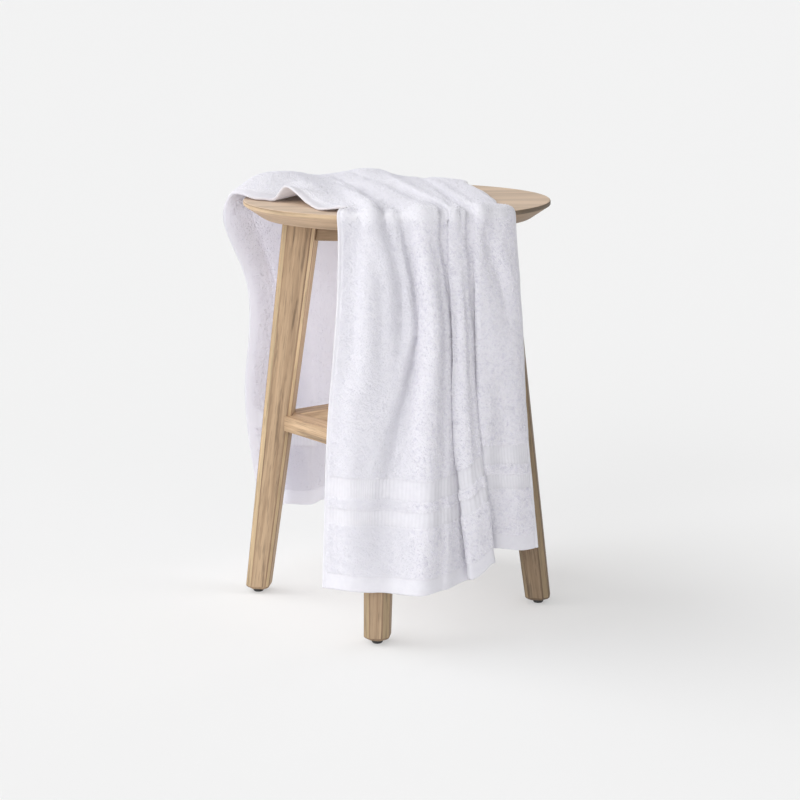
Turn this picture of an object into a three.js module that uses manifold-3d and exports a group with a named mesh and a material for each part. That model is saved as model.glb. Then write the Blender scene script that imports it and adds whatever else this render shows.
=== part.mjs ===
// A bath towel draped over a round four-legged wooden stool.
// Millimetres, +Z up, the stool's feet on the plane z = 0.
import * as THREE from 'three';
import { mergeVertices } from 'three/addons/utils/BufferGeometryUtils.js';
import Module from 'manifold-3d';

const wasm = await Module();
wasm.setup();

// Driving sizes of the stool
const SEAT_HEIGHT = 450;
const SEAT_RADIUS = 166;
const SEAT_THICKNESS = 18;
const RIM_BAND = 4;
const RIM_ROUNDING = 1.5;
const UNDERSIDE_RADIUS = 147;
const SEAT_SIDES = 72;

const LEG_TURN = -7.5;
const LEG_FOOT_RADIUS = 160;
const LEG_SPLAY = 0.13;
const LEG_FOOT_WIDTH = 27;
const LEG_TAPER = 0.0262;
const LEG_OUTER_CHAMFER = 7;
const LEG_INNER_CHAMFER = 4;
const FOOT_ROUNDING = 2.5;

const RAIL_TOP = 208.5;
const RAIL_TALL = 17;
const RAIL_THICK = 23;
const RAIL_FROM_AXIS = 88;

const CROSS_BAR_TALL = 28;
const CROSS_BAR_THICK = 22;

const GLIDE_HEIGHT = 4.5;
const GLIDE_RADIUS = 6;
const GLIDE_FACE_RADIUS = 5;

// Space left between pieces that touch on the real stool
const FIT_GAP = 0.3;

// Driving sizes of the towel
const CLOTH_THICKNESS = 2.5;
const LOWER_LEVEL = 220;
const UPPER_LEVEL = 345;
const UNDER_RIM_LEVEL = SEAT_HEIGHT - 20;

// The towel's folds, from its left selvedge to its right one. A bearing is in degrees round the
// stool's axis, 0 at the front and growing to the right. A stand-off is how far the middle of the
// cloth lies outside the seat's radius. Each list runs hem, lower level, upper level, rim.
const FRONT_FOLDS = [
  { bearing: [-26.0, -24.4, -21.2, -20.6], standOff: [11, 8, 5, 6], hem: 61 },
  { bearing: [-21.0, -19.6, -17.0, -16.4], standOff: [13, 9, 7, 7], hem: 62 },
  { bearing: [-14.8, -14.5, -11.8, -11.0], standOff: [18, 14, 12, 11], hem: 63 },
  { bearing: [-8.5, -6.5, 2.1, -3.6], standOff: [15, 11, 1, 6], hem: 62 },
  { bearing: [-5.5, -3.0, 5.0, 0.2], standOff: [13, 7, 4, 9], hem: 62 },
  { bearing: [-2.0, 0.8, 8.0, 3.6], standOff: [12, 3, -2, 6], hem: 61 },
  { bearing: [8.0, 10.8, 12.0, 8.6], standOff: [26, 20, 17, 13], hem: 62 },
  'pleat',
  { bearing: [30.2, 23.6, 21.6, 21.0], standOff: [9, 14, 14, 11], hem: 73 },
  'pleat',
  { bearing: [45.0, 37.0, 33.5, 31.5], standOff: [2, 10, 12, 10], hem: 91 },
  { bearing: [51.0, 45.0, 41.0, 38.5], standOff: [7, 12, 13, 10], hem: 87 },
  { bearing: [60.5, 51.5, 47.2, 46.2], standOff: [9, 8, 9, 9], hem: 84 },
];
const FRONT_PLEATS = [
  {
    bearing: [19.4, 18.3, 16.6, 13.4], standOff: [14, 11, 10, 12],
    gap: [17, 5, 4.5, 12], step: [-8, -2, 0, 0], depth: [36, 44, 38, 8], lean: [12, 12, 8, 0],
    hem: [65, 69],
  },
  {
    bearing: [36.4, 28.0, 25.0, 24.0], standOff: [8, 9, 10, 11],
    gap: [7, 7, 8.5, 12], step: [-11, 0, 0, 0], depth: [32, 42, 36, 8], lean: [10, 12, 8, 0],
    hem: [82, 94],
  },
];

// The same folds where they lie on the seat. Lifts are how high the middle of the cloth lies
// above the seat, at the front rim, half way and at the back rim. A bow moves the fold's middle
// sideways from the straight line between the two rims.
const SEAT_FOLDS = [
  { lift: [7, 6, 4], bow: 0 },
  { lift: [7, 9, 15], bow: 22 },
  { lift: [9, 10, 20], bow: 10 },
  { lift: [6, 7, 13], bow: 4 },
  { lift: [8, 9, 11.5], bow: 0 },
  { lift: [6, 8, 12], bow: 0 },
  { lift: [9, 10, 12.5], bow: 0 },
  'pleat',
  { lift: [9, 8, 4], bow: 0 },
  'pleat',
  { lift: [8, 6, 4.5], bow: 0 },
  { lift: [7, 6, 4], bow: 0 },
  { lift: [5, 3, 3.5], bow: 0 },
];
const SEAT_PLEATS = [
  { nose: [9, 11, 13], edge: [10, 12, 16], groove: [6, 5, 3] },
  { nose: [9, 8, 5], edge: [9, 8, 5], groove: [6, 4, 2] },
];
// The left selvedge wanders over the seat between the two rims, and lifts clear once.
const LEFT_SELVEDGE = [
  { x: -76, y: -122, lift: 2.4 },
  { x: -94, y: -84, lift: 3 },
  { x: -114, y: -48, lift: 14 },
  { x: -133, y: -28, lift: 4 },
  { x: -148, y: -25, lift: 2.6 },
];

// The same folds behind the seat. Each list runs rim, upper level, lower level, hem.
const BACK_FOLDS = [
  { bearing: [277, 273.5, 266, 250], standOff: [5, -21, -5, -8], hem: 98 },
  { bearing: [265, 262, 258.5, 243], standOff: [26, 3, 12, 6], hem: 88 },
  { bearing: [238, 234, 231, 229], standOff: [18, 6, 11, 8], hem: 78 },
  { bearing: [219, 219, 221, 221], standOff: [8, -2, -13, -10], hem: 76 },
  { bearing: [213.5, 212, 212, 212], standOff: [9, 3, 4, 4], hem: 75 },
  { bearing: [209.5, 205, 204, 204], standOff: [9, 6, 9, 10], hem: 75 },
  { bearing: [205.5, 199.5, 198, 198], standOff: [9, 4, 4, 5], hem: 75 },
  'pleat',
  { bearing: [180, 176, 174, 174], standOff: [6, 8, 12, 16], hem: 74 },
  'pleat',
  { bearing: [159, 156, 153.5, 153], standOff: [7, 6, 5, 4], hem: 72 },
  { bearing: [154, 150, 147.5, 147], standOff: [7, 9, 12, 14], hem: 70 },
  { bearing: [149, 145, 142, 141], standOff: [5, 6, 7, 9], hem: 68 },
];
const BACK_PLEATS = [
  {
    bearing: [200.5, 194, 191, 190], standOff: [9, 4, 3, 3],
    gap: [28, 30, 32, 34], step: [1, 2, 4, 5], depth: [6, 8, 12, 12], lean: [0, 0, 0, 0],
    hem: [75, 74],
  },
  {
    bearing: [171.5, 169, 167, 168], standOff: [6, 8, 10, 12],
    gap: [14, 18, 22, 24], step: [0, -1, -2, -2], depth: [5, 8, 14, 14], lean: [0, 0, 0, 0],
    hem: [74, 72],
  },
];

// The two rows that round the seat's rim. A row lies out from the rim and up from the seat by a
// fixed amount and a share of each fold's own stand-off or lift. Its pleats sink at an angle.
const CORNER_ROW = { out: 1, standOffShare: 0.6, up: 1.5, liftShare: 0.6, sink: 45 };
const CROWN_ROW = { out: -18, standOffShare: 0, up: 0, liftShare: 1, sink: 90 };

// The outline of one pleat, from the panel before it to the panel after it. Across runs from 0 at
// the nose to 1 at the edge, flare is in whole flares beyond them, loop in half loop widths, and
// depth in whole depths.
const PLEAT_OUTLINE = [
  { across: 0, flare: -1, loop: 0, depth: 0 },
  { across: 0, flare: -0.3, loop: 0, depth: 0.015 },
  { across: 0, flare: 0, loop: 0, depth: 0.1 },
  { across: 0.05, flare: 0, loop: -0.4, depth: 0.5 },
  { across: 0.3, flare: 0, loop: -0.7, depth: 0.88 },
  { across: 0.5, flare: 0, loop: 0, depth: 1 },
  { across: 0.7, flare: 0, loop: 0.7, depth: 0.88 },
  { across: 0.95, flare: 0, loop: 0.4, depth: 0.5 },
  { across: 1, flare: 0, loop: 0, depth: 0.1 },
  { across: 1, flare: 0.3, loop: 0, depth: 0.015 },
  { across: 1, flare: 1, loop: 0, depth: 0 },
];
const PLEAT_FLARE = 5;
const LOOP_WIDTH = 8;

// How many steps the solid takes between two folds, inside a pleat, and between two sections
const STEPS_PER_FOLD = 3;
const STEPS_PER_SECTION = [4, 4, 3, 2, 2, 2, 2, 2, 2, 2, 2, 2, 2, 3, 4, 4];

const wood = (name) => new THREE.MeshStandardMaterial({
  name, color: 0xc9ac82, roughness: 0.6, metalness: 0,
});
const towelling = new THREE.MeshStandardMaterial({
  name: 'terry', color: 0xf1f0f4, roughness: 1, metalness: 0,
});
const glideBlack = new THREE.MeshStandardMaterial({
  name: 'glide', color: 0x1d1c1c, roughness: 0.45, metalness: 0,
});

const model = new THREE.Group();

function addPiece(name, geometry, material) {
  const mesh = new THREE.Mesh(geometry, material);
  mesh.name = name;
  model.add(mesh);
}

// A point given by its bearing from the front, its distance from the stool's axis and its height
function polar(bearing, radius, height) {
  const angle = THREE.MathUtils.degToRad(bearing - 90);
  return new THREE.Vector3(radius * Math.cos(angle), radius * Math.sin(angle), height);
}

// The closed solid between two rings of points or more, which all have the same number of points
function loft(rings) {
  const count = rings[0].length;
  const positions = rings.flat().flatMap((point) => point.toArray());
  const indices = [];
  for (let ring = 0; ring < rings.length - 1; ring += 1) {
    for (let side = 0; side < count; side += 1) {
      const next = (side + 1) % count;
      const low = ring * count;
      const high = low + count;
      indices.push(low + side, low + next, high + next, low + side, high + next, high + side);
    }
  }
  const top = (rings.length - 1) * count;
  for (let side = 1; side < count - 1; side += 1) {
    indices.push(0, side + 1, side, top, top + side, top + side + 1);
  }
  const geometry = new THREE.BufferGeometry();
  geometry.setAttribute('position', new THREE.Float32BufferAttribute(positions, 3));
  geometry.setIndex(indices);
  return geometry;
}

function toSolid(geometry) {
  const bare = geometry.clone();
  bare.deleteAttribute('normal');
  bare.deleteAttribute('uv');
  const merged = mergeVertices(bare, 1e-4);
  return new wasm.Manifold(new wasm.Mesh({
    numProp: 3,
    vertProperties: new Float32Array(merged.attributes.position.array),
    triVerts: new Uint32Array(merged.index.array),
  }));
}

function toGeometry(solid) {
  const mesh = solid.getMesh();
  const geometry = new THREE.BufferGeometry();
  geometry.setAttribute('position', new THREE.Float32BufferAttribute(mesh.vertProperties, 3));
  geometry.setIndex(Array.from(mesh.triVerts));
  return geometry;
}

// Seat: a round disc with a narrow upright band and a bevelled underside
function seatGeometry() {
  const top = SEAT_HEIGHT;
  const bottom = SEAT_HEIGHT - SEAT_THICKNESS;
  const profile = [
    new THREE.Vector2(0, bottom),
    new THREE.Vector2(UNDERSIDE_RADIUS, bottom),
    new THREE.Vector2(SEAT_RADIUS, top - RIM_BAND),
    new THREE.Vector2(SEAT_RADIUS, top - RIM_ROUNDING),
    new THREE.Vector2(SEAT_RADIUS - RIM_ROUNDING, top),
    new THREE.Vector2(0, top),
  ];
  const lathe = new THREE.LatheGeometry(profile, SEAT_SIDES);
  return lathe.rotateX(Math.PI / 2);
}

// Legs: a tapered square section with its corners taken off, splayed outward
function legRing(bearing, height, inset, extra) {
  const half = (LEG_FOOT_WIDTH + LEG_TAPER * height) / 2 - inset + extra;
  const outer = LEG_OUTER_CHAMFER;
  const inner = LEG_INNER_CHAMFER;
  const outline = [
    [half, -half + outer], [half, half - outer], [half - outer, half], [-half + inner, half],
    [-half, half - inner], [-half, -half + inner], [-half + inner, -half], [half - outer, -half],
  ];
  const centre = LEG_FOOT_RADIUS - LEG_SPLAY * height;
  const out = polar(bearing, 1, 0);
  const along = polar(bearing + 90, 1, 0);
  return outline.map(([radial, tangential]) => new THREE.Vector3(0, 0, height)
    .addScaledVector(out, centre + radial)
    .addScaledVector(along, tangential));
}

function legGeometry(bearing, extra = 0) {
  const foot = GLIDE_HEIGHT + FIT_GAP;
  const head = SEAT_HEIGHT - SEAT_THICKNESS - FIT_GAP;
  return loft([
    legRing(bearing, foot, FOOT_ROUNDING, extra),
    legRing(bearing, foot + FOOT_ROUNDING, 0, extra),
    legRing(bearing, head, 0, extra),
  ]);
}

function glideGeometry(bearing) {
  const profile = [
    new THREE.Vector2(0, 0),
    new THREE.Vector2(GLIDE_FACE_RADIUS, 0),
    new THREE.Vector2(GLIDE_RADIUS, GLIDE_HEIGHT / 3),
    new THREE.Vector2(GLIDE_RADIUS, GLIDE_HEIGHT),
    new THREE.Vector2(0, GLIDE_HEIGHT),
  ];
  const lathe = new THREE.LatheGeometry(profile, 20);
  const place = polar(bearing, LEG_FOOT_RADIUS - LEG_SPLAY * GLIDE_HEIGHT, 0);
  return lathe.rotateX(Math.PI / 2).translate(place.x, place.y, 0);
}

const LEGS = [
  { name: 'front', bearing: LEG_TURN },
  { name: 'right', bearing: LEG_TURN + 90 },
  { name: 'back', bearing: LEG_TURN + 180 },
  { name: 'left', bearing: LEG_TURN + 270 },
];
const legSockets = LEGS.map(({ bearing }) => toSolid(legGeometry(bearing, FIT_GAP)));

function trimToLegs(geometry) {
  return toGeometry(legSockets.reduce((solid, socket) => solid.subtract(socket), toSolid(geometry)));
}

// Rails: four bars that tie each leg to the next, mitred together against the legs' inner sides
function railGeometry(bearing) {
  const inner = RAIL_FROM_AXIS - RAIL_THICK / 2;
  const outer = RAIL_FROM_AXIS + RAIL_THICK / 2;
  const mitreGap = FIT_GAP * Math.SQRT1_2;
  const out = polar(bearing, 1, 0);
  const along = polar(bearing + 90, 1, 0);
  const outline = [
    [inner, mitreGap - inner],
    [outer, mitreGap - outer],
    [outer, outer - mitreGap],
    [inner, inner - mitreGap],
  ];
  const ring = (height) => outline.map(([radial, tangential]) => new THREE.Vector3(0, 0, height)
    .addScaledVector(out, radial)
    .addScaledVector(along, tangential));
  return trimToLegs(loft([ring(RAIL_TOP - RAIL_TALL), ring(RAIL_TOP)]));
}

// Cross bars: two bars under the seat, halved into each other where they cross
function crossBarGeometry(bearing, notchSide) {
  const middle = SEAT_HEIGHT - SEAT_THICKNESS - FIT_GAP - CROSS_BAR_TALL / 2;
  const long = 2 * (LEG_FOOT_RADIUS - LEG_SPLAY * middle);
  const bar = new THREE.BoxGeometry(long, CROSS_BAR_THICK, CROSS_BAR_TALL);
  const notchWidth = CROSS_BAR_THICK + 2 * FIT_GAP;
  const notch = new THREE.BoxGeometry(notchWidth, notchWidth, CROSS_BAR_TALL);
  notch.translate(0, 0, notchSide * (CROSS_BAR_TALL - FIT_GAP) / 2);
  const halved = toGeometry(toSolid(bar).subtract(toSolid(notch)));
  halved.rotateZ(THREE.MathUtils.degToRad(bearing - 90)).translate(0, 0, middle);
  return trimToLegs(halved);
}

// One section of the towel: the points of its folds, with each pleat put in by its outline
function pleatPoints(nose, edge, inward, across, depth, lean) {
  return PLEAT_OUTLINE.map((step) => {
    const sideways = step.flare * PLEAT_FLARE
      + step.loop * Math.min(LOOP_WIDTH, depth) / 2
      + step.depth * lean;
    return nose.clone().lerp(edge, step.across)
      .addScaledVector(across, sideways)
      .addScaledVector(inward, step.depth * depth);
  });
}

// A hanging section, at one level in front of the seat or behind it
function hangingSection(folds, pleats, level, heightOf, side) {
  let pleatIndex = 0;
  return folds.flatMap((fold) => {
    if (fold !== 'pleat') {
      return [polar(fold.bearing[level], SEAT_RADIUS + fold.standOff[level], heightOf(fold.hem))];
    }
    const pleat = pleats[pleatIndex];
    pleatIndex += 1;
    const bearing = pleat.bearing[level];
    const radius = SEAT_RADIUS + pleat.standOff[level];
    const across = polar(bearing + 90, side, 0);
    const nose = polar(bearing, radius, heightOf(pleat.hem[0]));
    const edge = polar(bearing, radius + pleat.step[level], heightOf(pleat.hem[1]))
      .addScaledVector(across, pleat.gap[level]);
    const inward = polar(bearing, -1, 0);
    return pleatPoints(nose, edge, inward, across, pleat.depth[level], pleat.lean[level]);
  });
}

// A row of the towel where it rounds the rim, with its pleats sinking at the row's own slope
function rimSection(folds, pleats, level, lifts, grooves, row, side) {
  const radiusOf = (standOff) => SEAT_RADIUS + row.out + row.standOffShare * standOff;
  const heightOf = (lift) => SEAT_HEIGHT + row.up + row.liftShare * lift;
  const slope = THREE.MathUtils.degToRad(row.sink);
  let pleatIndex = 0;
  return folds.flatMap((fold, index) => {
    if (fold !== 'pleat') {
      return [polar(fold.bearing[level], radiusOf(fold.standOff[level]), heightOf(lifts[index]))];
    }
    const pleat = pleats[pleatIndex];
    const rise = grooves[pleatIndex];
    pleatIndex += 1;
    const bearing = pleat.bearing[level];
    const across = polar(bearing + 90, side, 0);
    const nose = polar(bearing, radiusOf(pleat.standOff[level]), heightOf(rise.nose));
    const edge = polar(bearing, radiusOf(pleat.standOff[level] + pleat.step[level]),
      heightOf(rise.edge)).addScaledVector(across, pleat.gap[level]);
    const inward = polar(bearing, -Math.cos(slope), -Math.sin(slope));
    return pleatPoints(nose, edge, inward, across, rise.groove, 0);
  });
}

const liftsAt = (end) => SEAT_FOLDS.map((fold) => (fold === 'pleat' ? 0 : fold.lift[end]));
const groovesAt = (end) => SEAT_PLEATS.map(({ nose, edge, groove }) => ({
  nose: nose[end], edge: edge[end], groove: groove[end],
}));

function quadratic([start, middle, end], share) {
  const before = 1 - share;
  return start * before * (before - share) + 4 * middle * share * before
    + end * share * (share - before);
}

// The sections that lie on the seat, between the two crown sections just inside the rim
function seatSections(frontCrown, backCrown, count) {
  const sections = [];
  for (let number = 1; number <= count; number += 1) {
    const share = number / (count + 1);
    let pleatIndex = 0;
    let column = 0;
    sections.push(SEAT_FOLDS.flatMap((fold, index) => {
      if (fold === 'pleat') {
        const rise = SEAT_PLEATS[pleatIndex];
        pleatIndex += 1;
        const first = column;
        column += PLEAT_OUTLINE.length;
        return PLEAT_OUTLINE.map((step, stepIndex) => {
          const point = frontCrown[first + stepIndex].clone()
            .lerp(backCrown[first + stepIndex], share);
          const shoulder = quadratic(rise.nose, share) * (1 - step.across)
            + quadratic(rise.edge, share) * step.across;
          point.z = SEAT_HEIGHT + shoulder - step.depth * quadratic(rise.groove, share);
          return point;
        });
      }
      const start = frontCrown[column];
      const end = backCrown[column];
      column += 1;
      if (index === 0) {
        const { x, y, lift } = LEFT_SELVEDGE[number - 1];
        return [new THREE.Vector3(x, y, SEAT_HEIGHT + lift)];
      }
      const sideways = new THREE.Vector3(end.y - start.y, start.x - end.x, 0).normalize();
      const point = start.clone().lerp(end, share)
        .addScaledVector(sideways, 4 * share * (1 - share) * fold.bow);
      point.z = SEAT_HEIGHT + quadratic(fold.lift, share);
      return [point];
    }));
  }
  return sections;
}

function towelSections() {
  const front = (level, heightOf) => hangingSection(FRONT_FOLDS, FRONT_PLEATS, level, heightOf, 1);
  const back = (level, heightOf) => hangingSection(BACK_FOLDS, BACK_PLEATS, level, heightOf, -1);
  const frontRim = (row) => rimSection(FRONT_FOLDS, FRONT_PLEATS, 3, liftsAt(0), groovesAt(0), row, 1);
  const backRim = (row) => rimSection(BACK_FOLDS, BACK_PLEATS, 0, liftsAt(2), groovesAt(2), row, -1);
  const frontCrown = frontRim(CROWN_ROW);
  const backCrown = backRim(CROWN_ROW);
  return [
    front(0, (hem) => hem),
    front(1, () => LOWER_LEVEL),
    front(2, () => UPPER_LEVEL),
    front(3, () => UNDER_RIM_LEVEL),
    frontRim(CORNER_ROW),
    frontCrown,
    ...seatSections(frontCrown, backCrown, LEFT_SELVEDGE.length),
    backCrown,
    backRim(CORNER_ROW),
    back(0, () => UNDER_RIM_LEVEL),
    back(1, () => UPPER_LEVEL),
    back(2, () => LOWER_LEVEL),
    back(3, (hem) => hem),
  ];
}

// A smooth curve through the points, read off at the given number of steps in each of its spans
function smoothRow(points, stepsIn) {
  const curve = new THREE.CatmullRomCurve3(points, false, 'centripetal');
  const row = [points[0]];
  for (let span = 0; span < points.length - 1; span += 1) {
    const steps = stepsIn(span);
    for (let step = 1; step <= steps; step += 1) {
      row.push(curve.getPoint((span + step / steps) / (points.length - 1)));
    }
  }
  return row;
}

// Columns inside a pleat stand close together already, so only the plain panels are divided
function acrossSteps() {
  const steps = [];
  FRONT_FOLDS.forEach((fold, index) => {
    if (fold === 'pleat') {
      for (let step = 1; step < PLEAT_OUTLINE.length; step += 1) {
        steps.push(1);
      }
    }
    if (index < FRONT_FOLDS.length - 1) {
      steps.push(STEPS_PER_FOLD);
    }
  });
  return steps;
}

function towelGrid() {
  const steps = acrossSteps();
  const rows = towelSections().map((section) => smoothRow(section, (span) => steps[span]));
  const columns = rows[0].map((_, column) => smoothRow(
    rows.map((row) => row[column]),
    (span) => STEPS_PER_SECTION[span],
  ));
  return columns;
}

// The closed sheet that lies half a thickness to either side of the grid's surface
function sheetGeometry(grid, thickness) {
  const wide = grid.length;
  const long = grid[0].length;
  const normalAt = (i, j) => {
    const alongLength = grid[i][Math.min(j + 1, long - 1)].clone().sub(grid[i][Math.max(j - 1, 0)]);
    const alongWidth = grid[Math.min(i + 1, wide - 1)][j].clone().sub(grid[Math.max(i - 1, 0)][j]);
    return alongWidth.cross(alongLength).normalize();
  };
  const positions = [];
  for (const side of [0.5, -0.5]) {
    for (let i = 0; i < wide; i += 1) {
      for (let j = 0; j < long; j += 1) {
        const point = grid[i][j].clone().addScaledVector(normalAt(i, j), side * thickness);
        positions.push(...point.toArray());
      }
    }
  }
  const at = (i, j, side) => (side * wide + i) * long + j;
  const indices = [];
  const quad = (a, b, c, d) => indices.push(a, b, c, a, c, d);
  for (let i = 0; i < wide - 1; i += 1) {
    for (let j = 0; j < long - 1; j += 1) {
      quad(at(i, j, 0), at(i + 1, j, 0), at(i + 1, j + 1, 0), at(i, j + 1, 0));
      quad(at(i, j, 1), at(i, j + 1, 1), at(i + 1, j + 1, 1), at(i + 1, j, 1));
    }
    quad(at(i, 0, 0), at(i, 0, 1), at(i + 1, 0, 1), at(i + 1, 0, 0));
    quad(at(i, long - 1, 0), at(i + 1, long - 1, 0), at(i + 1, long - 1, 1), at(i, long - 1, 1));
  }
  for (let j = 0; j < long - 1; j += 1) {
    quad(at(0, j, 0), at(0, j + 1, 0), at(0, j + 1, 1), at(0, j, 1));
    quad(at(wide - 1, j, 0), at(wide - 1, j, 1), at(wide - 1, j + 1, 1), at(wide - 1, j + 1, 0));
  }
  const geometry = new THREE.BufferGeometry();
  geometry.setAttribute('position', new THREE.Float32BufferAttribute(positions, 3));
  geometry.setIndex(indices);
  return geometry;
}

addPiece('towel', sheetGeometry(towelGrid(), CLOTH_THICKNESS), towelling);
addPiece('seat', seatGeometry(), wood('seat_wood'));
for (const { name, bearing } of LEGS) {
  addPiece(`leg_${name}`, legGeometry(bearing), wood('leg_wood'));
  addPiece(`glide_${name}`, glideGeometry(bearing), glideBlack);
}
addPiece('rail_front_right', railGeometry(LEG_TURN + 45), wood('leg_wood'));
addPiece('rail_back_right', railGeometry(LEG_TURN + 135), wood('leg_wood'));
addPiece('rail_back_left', railGeometry(LEG_TURN + 225), wood('leg_wood'));
addPiece('rail_front_left', railGeometry(LEG_TURN + 315), wood('leg_wood'));
addPiece('cross_bar_side_to_side', crossBarGeometry(LEG_TURN + 90, 1), wood('leg_wood'));
addPiece('cross_bar_front_to_back', crossBarGeometry(LEG_TURN, -1), wood('leg_wood'));

// The origin lies on the floor, under the middle of the whole
const middle = new THREE.Box3().setFromObject(model).getCenter(new THREE.Vector3());
model.children.forEach((piece) => piece.geometry.translate(-middle.x, -middle.y, 0));

export default model;
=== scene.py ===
# %% [markdown]
# # A white terry towel over a wooden stool
# A towel is one thin sheet, and nearly all of its look comes from two things: how it folds and
# the loops of its pile. This lesson lays the folds first, as rows of named points, and only then
# gives the cloth its thickness, bands, hems and pile. The wooden stool under it comes last.
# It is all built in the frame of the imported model, in metres. Only the tables of folds, zones and
# creases are in millimetres, and MM turns them into metres where they are used.

# %% Load the frame
import math

import bmesh
import bpy
import numpy as np
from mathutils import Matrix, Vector, noise


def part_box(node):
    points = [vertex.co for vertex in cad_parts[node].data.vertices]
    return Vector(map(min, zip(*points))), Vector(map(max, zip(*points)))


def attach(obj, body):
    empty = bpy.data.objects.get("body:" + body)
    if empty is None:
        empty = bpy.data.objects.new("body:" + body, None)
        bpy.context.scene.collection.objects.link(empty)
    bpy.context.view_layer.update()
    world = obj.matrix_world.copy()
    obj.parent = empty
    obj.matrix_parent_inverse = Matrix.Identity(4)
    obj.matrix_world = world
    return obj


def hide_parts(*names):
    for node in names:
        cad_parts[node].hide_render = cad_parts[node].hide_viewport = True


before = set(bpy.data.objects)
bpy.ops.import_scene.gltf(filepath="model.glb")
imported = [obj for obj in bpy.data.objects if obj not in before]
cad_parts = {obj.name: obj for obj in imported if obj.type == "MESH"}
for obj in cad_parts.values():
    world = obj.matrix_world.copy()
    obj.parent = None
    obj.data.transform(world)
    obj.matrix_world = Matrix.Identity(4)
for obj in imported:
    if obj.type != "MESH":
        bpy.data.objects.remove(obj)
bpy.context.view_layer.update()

MM = 0.001
TINY = 1e-12
seat_low, seat_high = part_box("seat")
axis = (seat_low + seat_high) / 2
SEAT_HEIGHT = seat_high.z
SEAT_RADIUS = (seat_high.x - seat_low.x) / 2
print("seat height", round(SEAT_HEIGHT, 4), "radius", round(SEAT_RADIUS, 4))


# %% [markdown]
# ## The camera
# The photo was taken with a long lens from a little above the seat. The lens, distance and pitch
# were fitted to the stool, whose seat, legs and rails show in the photo, so that the render and
# the photo can be laid over each other. The camera stands in front of the stool's own axis. A
# small helper comes first, because the camera, the cloth, the wood and the lights all need it.

# %% Put a thing into the scene
def new_object(name, data):
    """A new object with this data, linked into the scene."""
    made = bpy.data.objects.new(name, data)
    bpy.context.scene.collection.objects.link(made)
    return made


# %% Place the camera
CAMERA_DISTANCE = 2.112
CAMERA_HEIGHT = 0.681
CAMERA_PITCH = math.radians(12.14)
CAMERA_TURN = math.radians(-0.09)
LENS = 87.84
SENSOR_WIDTH = 36.0

camera_data = bpy.data.cameras.new("camera")
camera_data.lens = LENS
camera_data.sensor_width = SENSOR_WIDTH
camera = new_object("camera", camera_data)
camera.location = (axis.x, axis.y - CAMERA_DISTANCE, CAMERA_HEIGHT)
camera.rotation_euler = (math.pi / 2 - CAMERA_PITCH, 0, CAMERA_TURN)
bpy.context.scene.camera = camera


# %% [markdown]
# ## The towel's folds
# Cloth over a round edge hangs in panels with folds between them. A bearing goes round the stool
# in degrees, 0 at the front and growing to the right, and a stand-off is how far the cloth hangs
# outside the seat's edge, in millimetres. Every fold is one line of a table, with its place at
# four levels: hem, lower, upper and rim. Rounded is how far it is pulled in where it turns over
# the rim, and tuck how far it draws in just below.
#
# A knife pleat, where the cloth doubles back under itself, is a line of its own in a second table.
# It has the place of its nose, the gap to the next panel and the step in or out to it. Depth is how
# far its groove sinks behind the nose, and lean how far the groove slants sideways.

# %% Name the levels and the folds in front
LOWER_LEVEL = 0.220
UPPER_LEVEL = 0.345
UNDER_RIM_LEVEL = SEAT_HEIGHT - 0.022
UNDER_RIM_TUCK = 5

FRONT_FOLDS = [
    dict(bearing=(-26.0, -24.4, -21.2, -20.6), stand_off=(11, 8, 5, 6), hem=61, rounded=4),
    dict(bearing=(-21.0, -19.6, -17.0, -16.4), stand_off=(13, 9, 7, 6), hem=62),
    dict(bearing=(-14.8, -14.5, -11.8, -11.0), stand_off=(18, 14, 12, 11), hem=63),
    dict(bearing=(-8.5, -6.5, 2.1, -3.6), stand_off=(15, 11, 1, 6), hem=62),
    dict(bearing=(-5.5, -3.0, 5.0, 0.2), stand_off=(13, 7, 4, 9), hem=62),
    dict(bearing=(-2.0, 0.8, 8.0, 3.6), stand_off=(12, 3, -2, 6), hem=61),
    dict(bearing=(8.0, 10.8, 12.0, 8.6), stand_off=(26, 20, 17, 13), hem=62),
    "pleat",
    dict(bearing=(30.2, 23.6, 21.6, 21.0), stand_off=(9, 14, 14, 11), hem=73),
    "pleat",
    dict(bearing=(45.0, 37.0, 33.5, 31.5), stand_off=(2, 10, 12, 10), hem=91),
    dict(bearing=(51.0, 45.0, 41.0, 38.5), stand_off=(7, 12, 13, 10), hem=87, rounded=2, tuck=3),
    dict(bearing=(57.5, 50.8, 47.2, 45.6), stand_off=(13, 10, 9, 6), hem=86, rounded=7, tuck=1.5),
]
FRONT_PLEATS = [
    dict(bearing=(16.6, 17.0, 16.3, 13.4), stand_off=(14, 11, 10, 12), gap=(26, 7.4, 6, 12),
         step=(-8, -2, 0, 0), depth=(16, 7.5, 6, 5), lean=(20, 11, 6, 0), hem=(63, 69)),
    dict(bearing=(36.4, 28.0, 24.4, 23.5), stand_off=(8, 9, 10, 11), gap=(6, 5.5, 9, 12),
         step=(-11, -2, 0, 0), depth=(18, 7, 6, 5), lean=(10, 8, 5, 0), hem=(82, 94)),
]

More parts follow.
